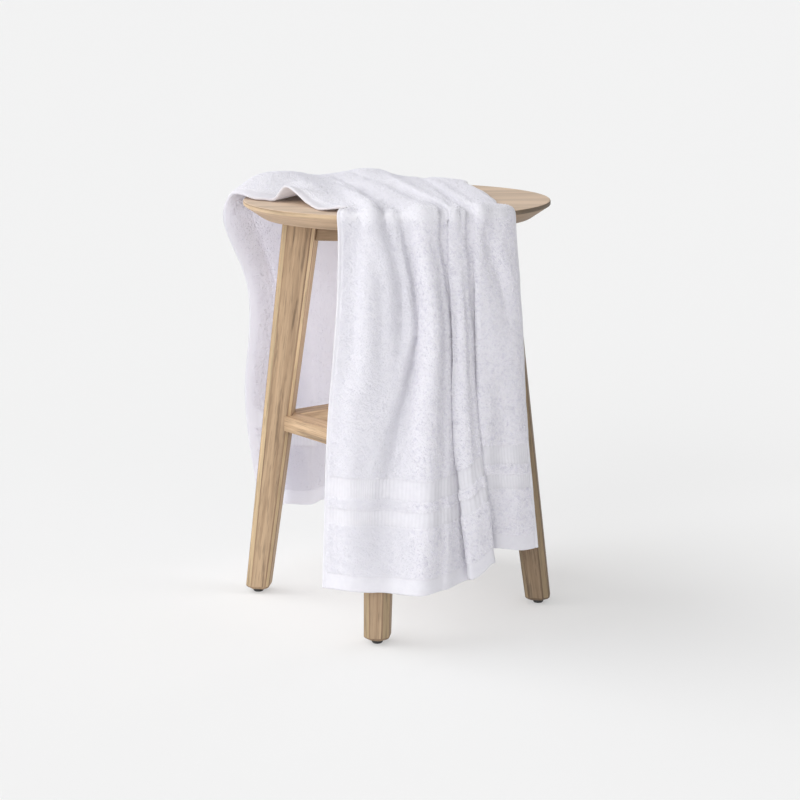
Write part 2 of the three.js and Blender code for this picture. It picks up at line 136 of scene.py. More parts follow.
# %% Name the same folds behind the seat, from the rim down to the hem
BACK_FOLDS = [
    dict(bearing=(265, 261.3, 262, 249), stand_off=(24, 0, 5, 4), hem=98),
    dict(bearing=(257, 253.5, 253.4, 241), stand_off=(9, -18, -12, -12), hem=88),
    dict(bearing=(238, 234, 231, 229), stand_off=(18, 6, 11, 8), hem=78),
    dict(bearing=(219, 219, 221, 221), stand_off=(8, -2, -13, -10), hem=76),
    dict(bearing=(213.5, 212, 212, 212), stand_off=(9, 3, 4, 4), hem=75),
    dict(bearing=(209.5, 205, 204, 204), stand_off=(9, 6, 9, 10), hem=75),
    dict(bearing=(205.5, 199.5, 198, 198), stand_off=(9, 4, 4, 5), hem=75),
    "pleat",
    dict(bearing=(180, 176, 174, 174), stand_off=(6, 8, 12, 16), hem=74),
    "pleat",
    dict(bearing=(159, 156, 153.5, 153), stand_off=(7, 6, 5, 4), hem=72),
    dict(bearing=(154, 150, 147.5, 147), stand_off=(7, 9, 12, 14), hem=70),
    dict(bearing=(151, 146, 142, 141), stand_off=(0, 5, 7, 9), hem=68),
]
BACK_PLEATS = [
    dict(bearing=(200.5, 194, 191, 190), stand_off=(9, 4, 3, 3), gap=(28, 30, 32, 34),
         step=(1, 2, 4, 5), depth=(6, 8, 12, 12), lean=(0, 0, 0, 0), hem=(75, 74)),
    dict(bearing=(171.5, 169, 167, 168), stand_off=(6, 8, 10, 12), gap=(14, 18, 22, 24),
         step=(0, -1, -2, -2), depth=(5, 8, 14, 14), lean=(0, 0, 0, 0), hem=(74, 72)),
]

# %% [markdown]
# On the seat the same folds run from rim to rim. A lift is how high the cloth lies above the
# wood, in front, half way and behind, and a bow moves a fold sideways half way. The left selvedge
# has places of its own, in millimetres from the stool's axis, because it wanders over the seat and
# lifts clear of it once. So has the last place of the right one.

# %% Name the folds on the seat
SEAT_FOLDS = [
    dict(lift=(7, 6, 4), bow=0),
    dict(lift=(7, 9, 18.5), bow=22),
    dict(lift=(9, 10, 20), bow=10),
    dict(lift=(6, 7, 13), bow=4),
    dict(lift=(8, 9, 11.5), bow=0),
    dict(lift=(6, 8, 12), bow=0),
    dict(lift=(9, 10, 12.5), bow=0),
    "pleat",
    dict(lift=(9, 8, 8), bow=0),
    "pleat",
    dict(lift=(8, 6, 4.5), bow=0),
    dict(lift=(7, 6, 3.5), bow=0),
    dict(lift=(3.5, 3, 1.8), bow=4),
]
SEAT_PLEATS = [
    dict(nose=(9, 11, 14), edge=(10, 12, 15), groove=(6, 3, -2)),
    dict(nose=(9, 8, 5), edge=(9, 8, 5), groove=(6, 4, 2)),
]
LEFT_SELVEDGE = [
    dict(x=-76, y=-122, lift=2.4),
    dict(x=-93, y=-85, lift=4),
    dict(x=-118, y=-52, lift=17.5),
    dict(x=-131, y=-38, lift=2.8),
    dict(x=-141, y=-30, lift=2.4),
    dict(x=-151, y=-24, lift=2.4),
]
RIGHT_SELVEDGE_BEHIND = dict(x=80, y=122, lift=2.0)

# A row where the cloth rounds the rim lies a fixed amount out from the rim and up from the seat,
# plus a share of each fold's stand-off or lift. Its pleats sink at an angle.
CORNER_ROW = dict(out=0.4, stand_off_share=0.6, up=-0.2, lift_share=0.6, sink=45)
CROWN_ROW = dict(out=-18, stand_off_share=0, up=0, lift_share=1, sink=90)

# The outline of one pleat, from the panel before it to the panel after it
PLEAT_OUTLINE = [
    dict(across=0, flare=-1, loop=0, depth=0),
    dict(across=0, flare=-0.3, loop=0, depth=0.015),
    dict(across=0, flare=0, loop=0, depth=0.1),
    dict(across=0.05, flare=0, loop=-0.4, depth=0.5),
    dict(across=0.3, flare=0, loop=-0.7, depth=0.88),
    dict(across=0.5, flare=0, loop=0, depth=1),
    dict(across=0.7, flare=0, loop=0.7, depth=0.88),
    dict(across=0.95, flare=0, loop=0.4, depth=0.5),
    dict(across=1, flare=0, loop=0, depth=0.1),
    dict(across=1, flare=0.3, loop=0, depth=0.015),
    dict(across=1, flare=1, loop=0, depth=0),
]
PLEAT_FLARE = 5
PLEAT_LOOP_WIDTH = 8


# %% [markdown]
# ## From tables to rows of points
# Each level becomes one row of points across the towel, from the left selvedge to the right one.
# Seventeen rows, from the front hem over the seat to the back hem, are enough to carry the folds.

# %% Turn bearings into points and pleats into loops
def polar(bearing, radius, height):
    """A point by its bearing, its distance from the stool's axis and its height."""
    angle = math.radians(bearing - 90)
    return Vector((radius * math.cos(angle), radius * math.sin(angle), height))


def pleat_points(nose, edge, inward, across, depth, lean):
    """The points of one pleat, which sinks inward between its nose and the next panel's edge."""
    points = []
    for step in PLEAT_OUTLINE:
        loop_width = min(PLEAT_LOOP_WIDTH * MM, depth)
        sideways = (step["flare"] * PLEAT_FLARE * MM + step["loop"] * loop_width / 2
                    + step["depth"] * lean)
        points.append(nose.lerp(edge, step["across"]) + across * sideways
                      + inward * step["depth"] * depth)
    return points


def hanging_row(folds, pleats, level, height_of, side, tucked=0):
    """One level of the cloth where it hangs, in front (side 1) or behind (side -1).

    Tucked is 1 just under the rim, where the cloth draws in below the seat's edge."""
    waiting = iter(pleats)
    row = []
    for fold in folds:
        if fold != "pleat":
            tuck = tucked * fold.get("tuck", UNDER_RIM_TUCK)
            radius = SEAT_RADIUS + (fold["stand_off"][level] - tuck) * MM
            row.append(polar(fold["bearing"][level], radius, height_of(fold["hem"])))
            continue
        pleat = next(waiting)
        bearing = pleat["bearing"][level]
        radius = SEAT_RADIUS + (pleat["stand_off"][level] - tucked * UNDER_RIM_TUCK) * MM
        across = polar(bearing + 90, side, 0)
        nose = polar(bearing, radius, height_of(pleat["hem"][0]))
        edge = polar(bearing, radius + pleat["step"][level] * MM, height_of(pleat["hem"][1]))
        edge += across * pleat["gap"][level] * MM
        row += pleat_points(nose, edge, polar(bearing, -1, 0), across,
                            pleat["depth"][level] * MM, pleat["lean"][level] * MM)
    return row


# %% Round the rim and cross the seat
def rim_row(folds, pleats, level, end, shape, side):
    """One row where the cloth rounds the rim. End says which of a lift's three values holds."""
    def radius_of(stand_off):
        return SEAT_RADIUS + (shape["out"] + shape["stand_off_share"] * stand_off) * MM

    def height_of(lift):
        return SEAT_HEIGHT + (shape["up"] + shape["lift_share"] * lift) * MM

    slope = math.radians(shape["sink"])
    waiting = iter(zip(pleats, SEAT_PLEATS))
    row = []
    for fold, seat_fold in zip(folds, SEAT_FOLDS):
        if fold != "pleat":
            rounded = fold.get("rounded", 0) * shape["stand_off_share"]
            row.append(polar(fold["bearing"][level], radius_of(fold["stand_off"][level]) - rounded * MM,
                             height_of(seat_fold["lift"][end])))
            continue
        pleat, rise = next(waiting)
        bearing = pleat["bearing"][level]
        across = polar(bearing + 90, side, 0)
        nose = polar(bearing, radius_of(pleat["stand_off"][level]), height_of(rise["nose"][end]))
        edge = polar(bearing, radius_of(pleat["stand_off"][level] + pleat["step"][level]),
                     height_of(rise["edge"][end])) + across * pleat["gap"][level] * MM
        inward = polar(bearing, -math.cos(slope), -math.sin(slope))
        row += pleat_points(nose, edge, inward, across, rise["groove"][end] * MM, 0)
    return row


def between(values, share):
    """The parabola through three values: in front, half way and behind."""
    start, middle, end = values
    before = 1 - share
    return (start * before * (before - share) + 4 * middle * share * before
            + end * share * (share - before))


def on_seat(place):
    """A place over the seat, given by x, y and lift in millimetres, as a point."""
    return Vector((place["x"] * MM, place["y"] * MM, SEAT_HEIGHT + place["lift"] * MM))


def seat_row(front_crown, back_crown, number, count):
    """One row on the seat, between the two crown rows just inside the rim."""
    share = number / (count + 1)
    row = []
    waiting = iter(SEAT_PLEATS)
    for index, fold in enumerate(SEAT_FOLDS):
        column = len(row)
        if fold == "pleat":
            rise = next(waiting)
            for step_index, step in enumerate(PLEAT_OUTLINE):
                point = front_crown[column + step_index].lerp(back_crown[column + step_index], share)
                shoulder = (between(rise["nose"], share) * (1 - step["across"])
                            + between(rise["edge"], share) * step["across"])
                sunk = step["depth"] * between(rise["groove"], share)
                point.z = SEAT_HEIGHT + (shoulder - sunk) * MM
                row.append(point)
            continue
        if index == 0:
            row.append(on_seat(LEFT_SELVEDGE[number - 1]))
            continue
        start, end = front_crown[column], back_crown[column]
        sideways = Vector((end.y - start.y, start.x - end.x, 0)).normalized()
        point = start.lerp(end, share) + sideways * 4 * share * (1 - share) * fold["bow"] * MM
        point.z = SEAT_HEIGHT + between(fold["lift"], share) * MM
        row.append(point)
    return row


# %% List the rows from the front hem to the back hem
# The tables in front go from the hem up to the rim and those behind from the rim down to the hem,
# so a level behind is counted from the rim.
HEM, LOWER, UPPER, RIM = range(4)
BACK_RIM = 0
FRONT_END = 0
BACK_END = 2


def towel_rows():
    """All rows of the towel, as an array of rows by points by x, y, z."""
    def front(level, height_of, tucked=0):
        return hanging_row(FRONT_FOLDS, FRONT_PLEATS, level, height_of, 1, tucked)

    def back(level, height_of):
        return hanging_row(BACK_FOLDS, BACK_PLEATS, RIM - level, height_of, -1)

    def front_rim(shape):
        return rim_row(FRONT_FOLDS, FRONT_PLEATS, RIM, FRONT_END, shape, 1)

    def back_rim(shape):
        return rim_row(BACK_FOLDS, BACK_PLEATS, BACK_RIM, BACK_END, shape, -1)

    front_crown = front_rim(CROWN_ROW)
    back_crown = back_rim(CROWN_ROW)
    back_crown[0] = on_seat(LEFT_SELVEDGE[-1])
    back_crown[-1] = on_seat(RIGHT_SELVEDGE_BEHIND)
    count = len(LEFT_SELVEDGE) - 1
    rows = [
        front(HEM, lambda hem: hem * MM),
        front(LOWER, lambda hem: LOWER_LEVEL),
        front(UPPER, lambda hem: UPPER_LEVEL),
        front(RIM, lambda hem: UNDER_RIM_LEVEL, tucked=1),
        front_rim(CORNER_ROW),
        front_crown,
        *[seat_row(front_crown, back_crown, number + 1, count) for number in range(count)],
        back_crown,
        back_rim(CORNER_ROW),
        back(RIM, lambda hem: UNDER_RIM_LEVEL),
        back(UPPER, lambda hem: UPPER_LEVEL),
        back(LOWER, lambda hem: LOWER_LEVEL),
        back(HEM, lambda hem: hem * MM),
    ]
    return np.array([[tuple(point) for point in row] for row in rows])


rows = towel_rows()
print("rows of points", rows.shape)


# %% [markdown]
# ## A smooth surface through the rows
# A centripetal Catmull-Rom curve goes through every point and never loops where points crowd, as
# they do in the pleats. It is run across each row first and then along the towel. The threads are
# then spaced evenly by measured length, so that the hems and bands keep their true width.

# %% Run curves through the points
SMALLEST_KNOT = 1e-4


def curve_through(points, places):
    """Centripetal curves through points (rows, many, 3), read at places counted in points."""
    before = 2 * points[:1] - points[1:2]
    after = 2 * points[-1:] - points[-2:-1]
    padded = np.concatenate([before, points, after])
    span = np.clip(places.astype(int), 0, len(points) - 2)
    share = (places - span)[:, None, None]
    p0, p1, p2, p3 = (padded[span + k] for k in range(4))

    def knot(a, b):
        return np.maximum(np.sqrt(np.linalg.norm(b - a, axis=2, keepdims=True)), SMALLEST_KNOT)

    k0, k1, k2 = knot(p0, p1), knot(p1, p2), knot(p2, p3)
    leaving = ((p1 - p0) / k0 - (p2 - p0) / (k0 + k1) + (p2 - p1) / k1) * k1
    arriving = ((p2 - p1) / k1 - (p3 - p1) / (k1 + k2) + (p3 - p2) / k2) * k1
    return (p1 + leaving * share + (3 * (p2 - p1) - 2 * leaving - arriving) * share ** 2
            + (2 * (p1 - p2) + leaving + arriving) * share ** 3)


def lengths_along(points):
    """Length from the start to each point, along the first axis."""
    steps = np.linalg.norm(np.diff(points, axis=0), axis=2)
    return np.concatenate([np.zeros((1, points.shape[1])), np.cumsum(steps, axis=0)])


# %% Space the threads across the towel
# The width is measured where the front end hangs freely, on its lower and its upper level. Fine is
# how many steps of a curve are measured from one of its points to the next.
SPACING = 3.4 * MM
FINE = 24
HANGS_FREELY = slice(LOWER, UPPER + 1)
SELVEDGE_STEPS = np.array([0, 0.7, 1.5, 2.3, 3.2, 4.4, 6.2]) * MM

across_places = np.linspace(0, rows.shape[1] - 1, (rows.shape[1] - 1) * FINE + 1)
across = curve_through(rows.transpose(1, 0, 2), across_places)
row_lengths = lengths_along(across)[:, HANGS_FREELY].mean(axis=1)
flat_width = row_lengths[-1]
inner_steps = np.linspace(SELVEDGE_STEPS[-1], flat_width - SELVEDGE_STEPS[-1],
                          round((flat_width - 2 * SELVEDGE_STEPS[-1]) / SPACING) + 1)
across_at = np.concatenate([SELVEDGE_STEPS[:-1], inner_steps,
                            flat_width - SELVEDGE_STEPS[-2::-1]])
wanted = np.interp(across_at, row_lengths, across_places)
warp_rows = curve_through(rows.transpose(1, 0, 2), wanted).transpose(1, 0, 2)
print("threads across", len(across_at), "gathered width", round(flat_width, 3))

# %% [markdown]
# ## Hems and bands
# Each end of the towel has, counted from its edge, a turned hem, terry, a narrow flat band, a
# strip of terry and a wider flat band. Terry is thick because of its loops, and the flat weave
# between is thin, so the cloth's outline steps in at each band. A zone is one line of this table.

# %% Name the zones from a hem's edge inwards
ZONES = [
    dict(kind="hem", ends=17.0, thick=3.0),
    dict(kind="terry", ends=70.0, thick=3.6),
    dict(kind="band", ends=87.0, thick=2.2),
    dict(kind="terry", ends=98.0, thick=3.6),
    dict(kind="band", ends=120.0, thick=2.2),
    dict(kind="terry", ends=330.0, thick=3.6),
]
LIP_WIDTH = 1.2
STEP_WIDTH = 1.2
STITCH_FROM_EDGE = 15.6
STITCH_ROWS = dict(before=1, after=0.2)
STITCH_REACH = 0.8
STITCH_DIP = 0.6


def zone_steps():
    """Distances from the hem's edge at which the cloth gets a row, with close pairs at each step."""
    steps = [0, LIP_WIDTH]
    start = LIP_WIDTH
    for zone in ZONES:
        stop = zone["ends"] - STEP_WIDTH / 2
        count = max(1, math.ceil((stop - start) * MM / SPACING))
        steps += [start + (stop - start) * (k + 1) / count for k in range(count)]
        start = zone["ends"] + STEP_WIDTH / 2
        steps.append(start)
    steps.append(STITCH_FROM_EDGE - STITCH_ROWS["before"])
    steps.append(STITCH_FROM_EDGE + STITCH_ROWS["after"])
    return np.array(sorted(steps)) * MM


def zone_at(distance):
    """The zone at a distance from the hem's edge. Past the last one, all is terry like it."""
    for zone in ZONES:
        if distance / MM < zone["ends"]:
            return zone
    return ZONES[-1]


def thickness_at(distance):
    """Thickness of the cloth at a distance from the hem's edge, less where its stitches pull in."""
    stitched = abs(distance / MM - STITCH_FROM_EDGE) < STITCH_REACH
    return (zone_at(distance)["thick"] - stitched * STITCH_DIP) * MM


# %% Space the threads along the towel
along_places = np.linspace(0, len(rows) - 1, (len(rows) - 1) * FINE + 1)
along = curve_through(warp_rows, along_places)
column_lengths = lengths_along(along)
flat_length = float(np.median(column_lengths[-1]))
from_hem = zone_steps()
middle_count = round((flat_length - 2 * from_hem[-1]) / SPACING)
grid = np.zeros((len(across_at), 2 * len(from_hem) + middle_count - 1, 3))
for column in range(len(across_at)):
    total = column_lengths[-1, column]
    middle = np.linspace(from_hem[-1], total - from_hem[-1], middle_count + 1)[1:-1]
    at = np.concatenate([from_hem, middle, total - from_hem[::-1]])
    place = np.interp(at, column_lengths[:, column], along_places)
    grid[column] = curve_through(warp_rows[:, column:column + 1], place)[:, 0]
long_at = np.concatenate([
    from_hem,
    np.linspace(from_hem[-1], flat_length - from_hem[-1], middle_count + 1)[1:-1],
    flat_length - from_hem[::-1],
])
grid += np.array(axis) * np.array((1, 1, 0))
wide, long = grid.shape[:2]
print("towel threads", wide, "by", long, "flat length", round(flat_length, 3))


# %% [markdown]
# ## Creases and unevenness
# Real terry is never as smooth as a curve. Small creases are soft ridges and troughs along a
# line, placed one by one: each has a few places, a width and a height, and fades towards its ends.
# Two slow noises then move the cloth a little more, by a millimetre or so.

# %% Find which way the cloth faces
def facing(surface):
    """Unit normals of a grid of points, pointing away from the stool."""
    width_way = np.gradient(surface, axis=0)
    length_way = np.gradient(surface, axis=1)
    normal = np.cross(width_way, length_way)
    return normal / np.maximum(np.linalg.norm(normal, axis=2, keepdims=True), TINY)


def calm(directions, times=4):
    """The same unit directions, averaged with their neighbours so that pleats don't tangle them."""
    for _ in range(times):
        for way in (0, 1):
            padded = np.concatenate([directions.take([0], way), directions,
                                     directions.take([-1], way)], axis=way)
            count = directions.shape[way]
            directions = (padded.take(range(count), way) + 2 * directions
                          + padded.take(range(2, count + 2), way))
            directions /= np.linalg.norm(directions, axis=2, keepdims=True)
    return directions


def along_line(line, places):
    """Distance of every place from a line of points, and how far along the line it is, 0 to 1."""
    ends = np.array(line) * MM
    reach = np.concatenate([[0], np.cumsum(np.linalg.norm(np.diff(ends, axis=0), axis=1))])
    nearest = np.full(places.shape[:2], 1.0)
    share = np.zeros(places.shape[:2])
    for k in range(len(ends) - 1):
        way = ends[k + 1] - ends[k]
        here = np.clip(((places - ends[k]) @ way) / (way @ way), 0, 1)
        away = np.linalg.norm(places - ends[k] - here[..., None] * way, axis=2)
        closer = away < nearest
        nearest[closer] = away[closer]
        share[closer] = ((reach[k] + here * (reach[k + 1] - reach[k])) / reach[-1])[closer]
    return nearest, share


# %% Place the creases
# A place on a crease is how far it lies right of the stool's axis, and how far up the cloth: the
# height from the floor, and past the rim at 456 the way back over the seat. Both are in
# millimetres. A negative height is a trough.
RIM_CLIMB = 456
RIM_ZONE = 12
RIM_CORNER = 6
BELOW_RIM = 4
END_FADE = 4
CREASES = [
    dict(name="trough of the first fold", width=6.5, height=-5.8,
         line=[(-74, 715), (-44, 652), (-14, 535), (-2, 480), (5, 440), (9, 423), (13, 406),
               (17, 383), (18.5, 355), (17, 315)]),
    dict(name="edge of the first fold", width=4.8, height=-4.4,
         line=[(-60, 690), (-40, 620), (-26, 535), (-17, 480), (-11, 440), (-5, 423), (0, 406),
               (4, 383), (5, 355), (4, 315)]),
    dict(name="ridge of the first fold", width=7.5, height=4.8,
         line=[(-66, 640), (-43, 535), (-31, 480), (-24, 440), (-18, 423), (-13, 406), (-9, 383),
               (-7, 340), (-9, 280)]),
    dict(name="ridge beside the middle lobe", width=10, height=5.2,
         line=[(20, 470), (26, 430), (30, 395), (32, 350), (30, 300), (26, 240), (24, 170)]),
    dict(name="slack beside the left selvedge", width=12, height=-7.5,
         line=[(-38, 486), (-41, 440), (-45, 400), (-46, 350), (-49, 270)]),
    dict(name="ridge beside the slack", width=9, height=3.4,
         line=[(-26, 412), (-27, 385), (-27, 340), (-31, 260)]),
    dict(name="trough across the seat", width=6, height=-2.6,
         line=[(-55, 745), (-5, 639), (25, 488)]),
    dict(name="first short trough over the rim", width=4.5, height=-3.0,
         line=[(14, 700), (36, 592), (50, 510), (54, 440), (56, 395)]),
    dict(name="second short trough under the rim", width=4, height=-2.2,
         line=[(63, 470), (66, 440), (70, 405)]),
    dict(name="slanting crease on the right panel", width=6, height=2.2,
         line=[(82, 470), (96, 425), (110, 395), (121, 372)]),
    dict(name="slanting trough beside it", width=8, height=-3.8,
         line=[(90, 455), (98, 410), (110, 365), (117, 320)]),
    dict(name="long slanting trough", width=8, height=-4.0,
         line=[(19, 330), (17, 300), (11, 268), (2, 235), (-7, 200)]),
    dict(name="low trough on the left panel", width=11, height=-3.6,
         line=[(2, 220), (-6, 198), (-14, 170), (-19, 130), (-20, 85)]),
    dict(name="low ridge beside it", width=11, height=2.2,
         line=[(-45, 230), (-50, 170), (-52, 100)]),
    dict(name="ridge on the mound", width=14, height=2.0,
         line=[(-110, 632), (-90, 568), (-62, 504)]),
    dict(name="wrinkle across the mound", width=8, height=-1.8,
         line=[(-135, 560), (-110, 575), (-85, 545)]),
    dict(name="small wrinkle on the middle lobe", width=4, height=-1.4,
         line=[(62, 380), (60, 330), (64, 280)]),
    dict(name="low slack on the right panel", width=10, height=-2.6,
         line=[(112, 250), (109, 190), (113, 120)]),
    dict(name="low ridge on the right panel", width=9, height=3.0,
         line=[(88, 290), (91, 200), (94, 110)]),
]

# %% Press the creases into the cloth
outward = calm(facing(grid))
from_axis = (grid - np.array((axis.x, axis.y, 0))) / MM
right, back, up = from_axis[..., 0], from_axis[..., 1], from_axis[..., 2]
rim_line = -np.sqrt(np.clip((SEAT_RADIUS / MM - RIM_CORNER) ** 2 - right ** 2, 0, None))
over_the_rim = up > RIM_CLIMB - RIM_ZONE
climb = np.minimum(up, RIM_CLIMB) + np.maximum(0, back - rim_line) * over_the_rim
hangs_behind = (up < SEAT_HEIGHT / MM - BELOW_RIM) & (back > 0)
unrolled = np.stack([right, climb], axis=2) * MM
for crease in CREASES:
    away, share = along_line(crease["line"], unrolled)
    fade = np.clip(1 - np.abs(2 * share - 1) ** END_FADE, 0, 1)
    shape = np.exp(-(away / (crease["width"] * MM)) ** 2)
    grid += outward * (crease["height"] * MM * shape * fade * ~hangs_behind)[..., None]
print("creases", len(CREASES))

# %% Make the cloth uneven
UNEVEN = [dict(size=45, height=1.3), dict(size=16, height=0.5)]
for i in range(wide):
    for j in range(long):
        sample = sum(layer["height"] * noise.noise(Vector(grid[i, j]) / (layer["size"] * MM))
                     for layer in UNEVEN)
        grid[i, j] += outward[i, j] * sample * MM
print("unevenness in mm", UNEVEN)


# %% [markdown]
# ## The cloth as a closed sheet
# The grid is the middle of the cloth. Two copies of it, half a thickness to either side, are
# joined round all four edges, with a point between them pushed out so that the edge is round. In
# front, where the photo shows them well, the selvedges have a thin firm cord at the very edge and
# a narrow flat strip before the pile begins. Elsewhere they are one smooth border.

# %% Give every thread its thickness
SELVEDGE_CORD = 2.0
SELVEDGE_STRIP = 4.0
CORD_THICKNESS = 2.6 * MM
STRIP_THICKNESS = 1.4 * MM
SMOOTH_THICKNESS = 3.15 * MM
FRONT_SELVEDGE = 50 * MM

from_hem_edge = np.minimum(long_at, flat_length - long_at)
thick_along = np.array([thickness_at(distance) for distance in from_hem_edge])
kind_along = np.array([zone_at(distance)["kind"] for distance in from_hem_edge])
edge_distance = np.minimum(across_at, flat_width - across_at)[:, None] / MM
on_border = edge_distance < SELVEDGE_STRIP
shows_well = grid[..., 1] < axis.y - FRONT_SELVEDGE
border = np.where(edge_distance < SELVEDGE_CORD, CORD_THICKNESS, STRIP_THICKNESS)
border = np.where(shows_well, border, SMOOTH_THICKNESS)
half = np.where(on_border, border, thick_along) / 2
pile = (~on_border & (kind_along == "terry")).astype(float)
rib = (~on_border & (kind_along == "band")).astype(float)
print("share of the cloth with pile", round(pile.mean(), 2), "and with ribs", round(rib.mean(), 2))


# %% Build the closed sheet
LIP_SHARE = 0.7


def closed_sheet(name, middle, half_thickness, facing_way):
    """A mesh object for a sheet with its two faces and four rounded edges."""
    n, m = middle.shape[:2]
    upper = middle + facing_way * half_thickness[..., None]
    lower = middle - facing_way * half_thickness[..., None]
    ring = ([(i, 0) for i in range(n)] + [(n - 1, j) for j in range(1, m)]
            + [(i, m - 1) for i in range(n - 2, -1, -1)] + [(0, j) for j in range(m - 2, 0, -1)])
    lip = []
    for i, j in ring:
        inner = middle[min(max(i, 1), n - 2), min(max(j, 1), m - 2)]
        push = middle[i, j] - inner
        push /= max(np.linalg.norm(push), TINY)
        lip.append(middle[i, j] + push * half_thickness[i, j] * LIP_SHARE)
    points = np.concatenate([upper.reshape(-1, 3), lower.reshape(-1, 3), np.array(lip)])
    faces = []
    under = n * m
    for i in range(n - 1):
        for j in range(m - 1):
            a, b, c, d = i * m + j, (i + 1) * m + j, (i + 1) * m + j + 1, i * m + j + 1
            faces.append((a, b, c, d))
            faces.append((under + a, under + d, under + c, under + b))
    for k, (i, j) in enumerate(ring):
        following = (k + 1) % len(ring)
        here, there = i * m + j, ring[following][0] * m + ring[following][1]
        lip_here, lip_there = 2 * under + k, 2 * under + following
        faces.append((here, lip_here, lip_there, there))
        faces.append((lip_here, under + here, under + there, lip_there))
    mesh = bpy.data.meshes.new(name)
    mesh.from_pydata([tuple(p) for p in points], [], faces)
    mesh.validate()
    for polygon in mesh.polygons:
        polygon.use_smooth = True
    return new_object(name, mesh), ring


outward = facing(grid)
towel, edge_ring = closed_sheet("towel_cloth", grid, half, outward)
print("towel faces", len(towel.data.polygons), "triangles about", 2 * len(towel.data.polygons))

# %% [markdown]
# The weave follows the cloth and not the room, so every point carries its own place on the flat
# towel as a UV map in metres. Attributes say how much pile, rib and light from behind a point has.
# Five of them are masks, one for each patch of loops that is grown below.

# %% Give the cloth its flat coordinates
flat_u = np.repeat(across_at[:, None], long, axis=1)
flat_v = np.repeat(long_at[None, :], wide, axis=0)
ring_u = np.array([flat_u[i, j] for i, j in edge_ring])
ring_v = np.array([flat_v[i, j] for i, j in edge_ring])
all_u = np.concatenate([flat_u.ravel(), flat_u.ravel(), ring_u])
all_v = np.concatenate([flat_v.ravel(), flat_v.ravel(), ring_v])
uv_layer = towel.data.uv_layers.new(name="flat")
corners = np.zeros(len(towel.data.loops), dtype=int)
towel.data.loops.foreach_get("vertex_index", corners)
uv_layer.data.foreach_set("uv", np.stack([all_u[corners], all_v[corners]], axis=1).ravel())


# %% Say where pile grows and where light passes
# The two front patches meet on a line right of the stool's axis. The back end glows most near its
# left selvedge, in the lobe that stands open there. Loops on its inner face are only grown on the
# left, where the photo looks into the lobe.
FRONT_SPLIT = 16 * MM
INSIDE_ENDS = 20 * MM
CLOTH_GLOW = 0.30
LOBE_GLOW = 0.48
LOBE_WIDTH = 90 * MM
LOBE_TOP = 10 * MM
LOBE_FADE = 30 * MM
LOBE_FRONT = 40 * MM


def give(name, upper, lower, edge=0):
    """Stores one number per point of the towel, for its outer face and its inner face."""
    layer = towel.data.attributes.new(name, "FLOAT", "POINT")
    rim = np.array([upper[i, j] for i, j in edge_ring]) * edge
    layer.data.foreach_set("value", np.concatenate([upper.ravel(), lower.ravel(), rim]))


right, back, height = grid[..., 0], grid[..., 1], grid[..., 2]
hangs = height < SEAT_HEIGHT - BELOW_RIM * MM
in_front = hangs & (back < axis.y)
behind = hangs & (back >= axis.y)
left_half = right < axis.x + FRONT_SPLIT
falls_behind = (np.clip((SEAT_HEIGHT + LOBE_TOP - height) / LOBE_FADE, 0, 1)
                * (back > axis.y - LOBE_FRONT))
near_edge = np.exp(-(across_at / LOBE_WIDTH) ** 2)[:, None]
glow = CLOTH_GLOW + LOBE_GLOW * falls_behind * near_edge
bare = np.zeros((wide, long))
give("pile", pile, pile)
give("rib", rib, rib)
give("lets_light_through", glow, glow, edge=1)
give("pile_front_left", pile * (in_front & left_half), bare)
give("pile_front_right", pile * (in_front & ~left_half), bare)
give("pile_seat", pile * ~(in_front | behind), bare)
give("pile_back", pile * behind, bare)
give("pile_inside", bare, pile * (behind & (right < axis.x - INSIDE_ENDS)))


# %% [markdown]
# ## Helpers for materials
# Every finish is built from nodes. These helpers keep the trees short: they make a material with
# its shader, add a node and fill its sockets by name or in order, and do the sums, spans, colour
# ramps and bumps that nearly every finish needs.

# %% Material helpers
def new_material(name):
    """A node material, its tree and its shader."""
    material = bpy.data.materials.new(name)
    material.use_nodes = True
    return material, material.node_tree, material.node_tree.nodes["Principled BSDF"]


def set_sockets(node, settings):
    """Sets a node's sockets from a table of their names or numbers and the values."""
    for socket, value in settings.items():
        node.inputs[socket].default_value = value


def add(tree, kind, links=(), **values):
    """Adds a node, sets sockets or properties by name and links other sockets into it."""
    node = tree.nodes.new(kind)
    for key, value in values.items():
        title = key.replace("_", " ").title()
        if title in node.inputs:
            node.inputs[title].default_value = value
        else:
            setattr(node, key, value)
    for output, socket in links:
        tree.links.new(output, node.inputs[socket])
    return node


def feed(tree, kind, *operands, **properties):
    """Adds a node, fills its sockets in order and gives its first output.

    An operand is another socket or a plain value, and None leaves the socket as it is."""
    node = tree.nodes.new(kind)
    for name, value in properties.items():
        setattr(node, name, value)
    for socket, operand in zip(node.inputs, operands):
        if isinstance(operand, bpy.types.NodeSocket):
            tree.links.new(operand, socket)
        elif operand is not None:
            socket.default_value = operand
    return node.outputs[0]


def maths(tree, operation, *operands):
    """One sum on sockets and numbers."""
    return feed(tree, "ShaderNodeMath", *operands, operation=operation)


def scaled(tree, colour, factor):
    """A colour or a direction times a factor."""
    return feed(tree, "ShaderNodeVectorMath", colour, None, None, factor, operation="SCALE")


def stretched(tree, value, places, results):
    """A value moved from one span to another, and held at its ends."""
    return feed(tree, "ShaderNodeMapRange", value, *places, *results)


def mottling(tree, place, **pattern):
    """A soft noise with its own scale and detail, read at a place."""
    return add(tree, "ShaderNodeTexNoise", [(place, "Vector")], **pattern).outputs[0]


def ramp(tree, value, low, high, places=(0, 1)):
    """A colour that goes from low to high between two places."""
    node = add(tree, "ShaderNodeValToRGB", [(value, 0)])
    for element, place, colour in zip(node.color_ramp.elements, places, (low, high)):
        element.position = place
        element.color = (*colour[:3], 1)
    return node.outputs[0]


def own_place(tree):
    """A point's place in its own object."""
    return add(tree, "ShaderNodeTexCoord").outputs["Object"]


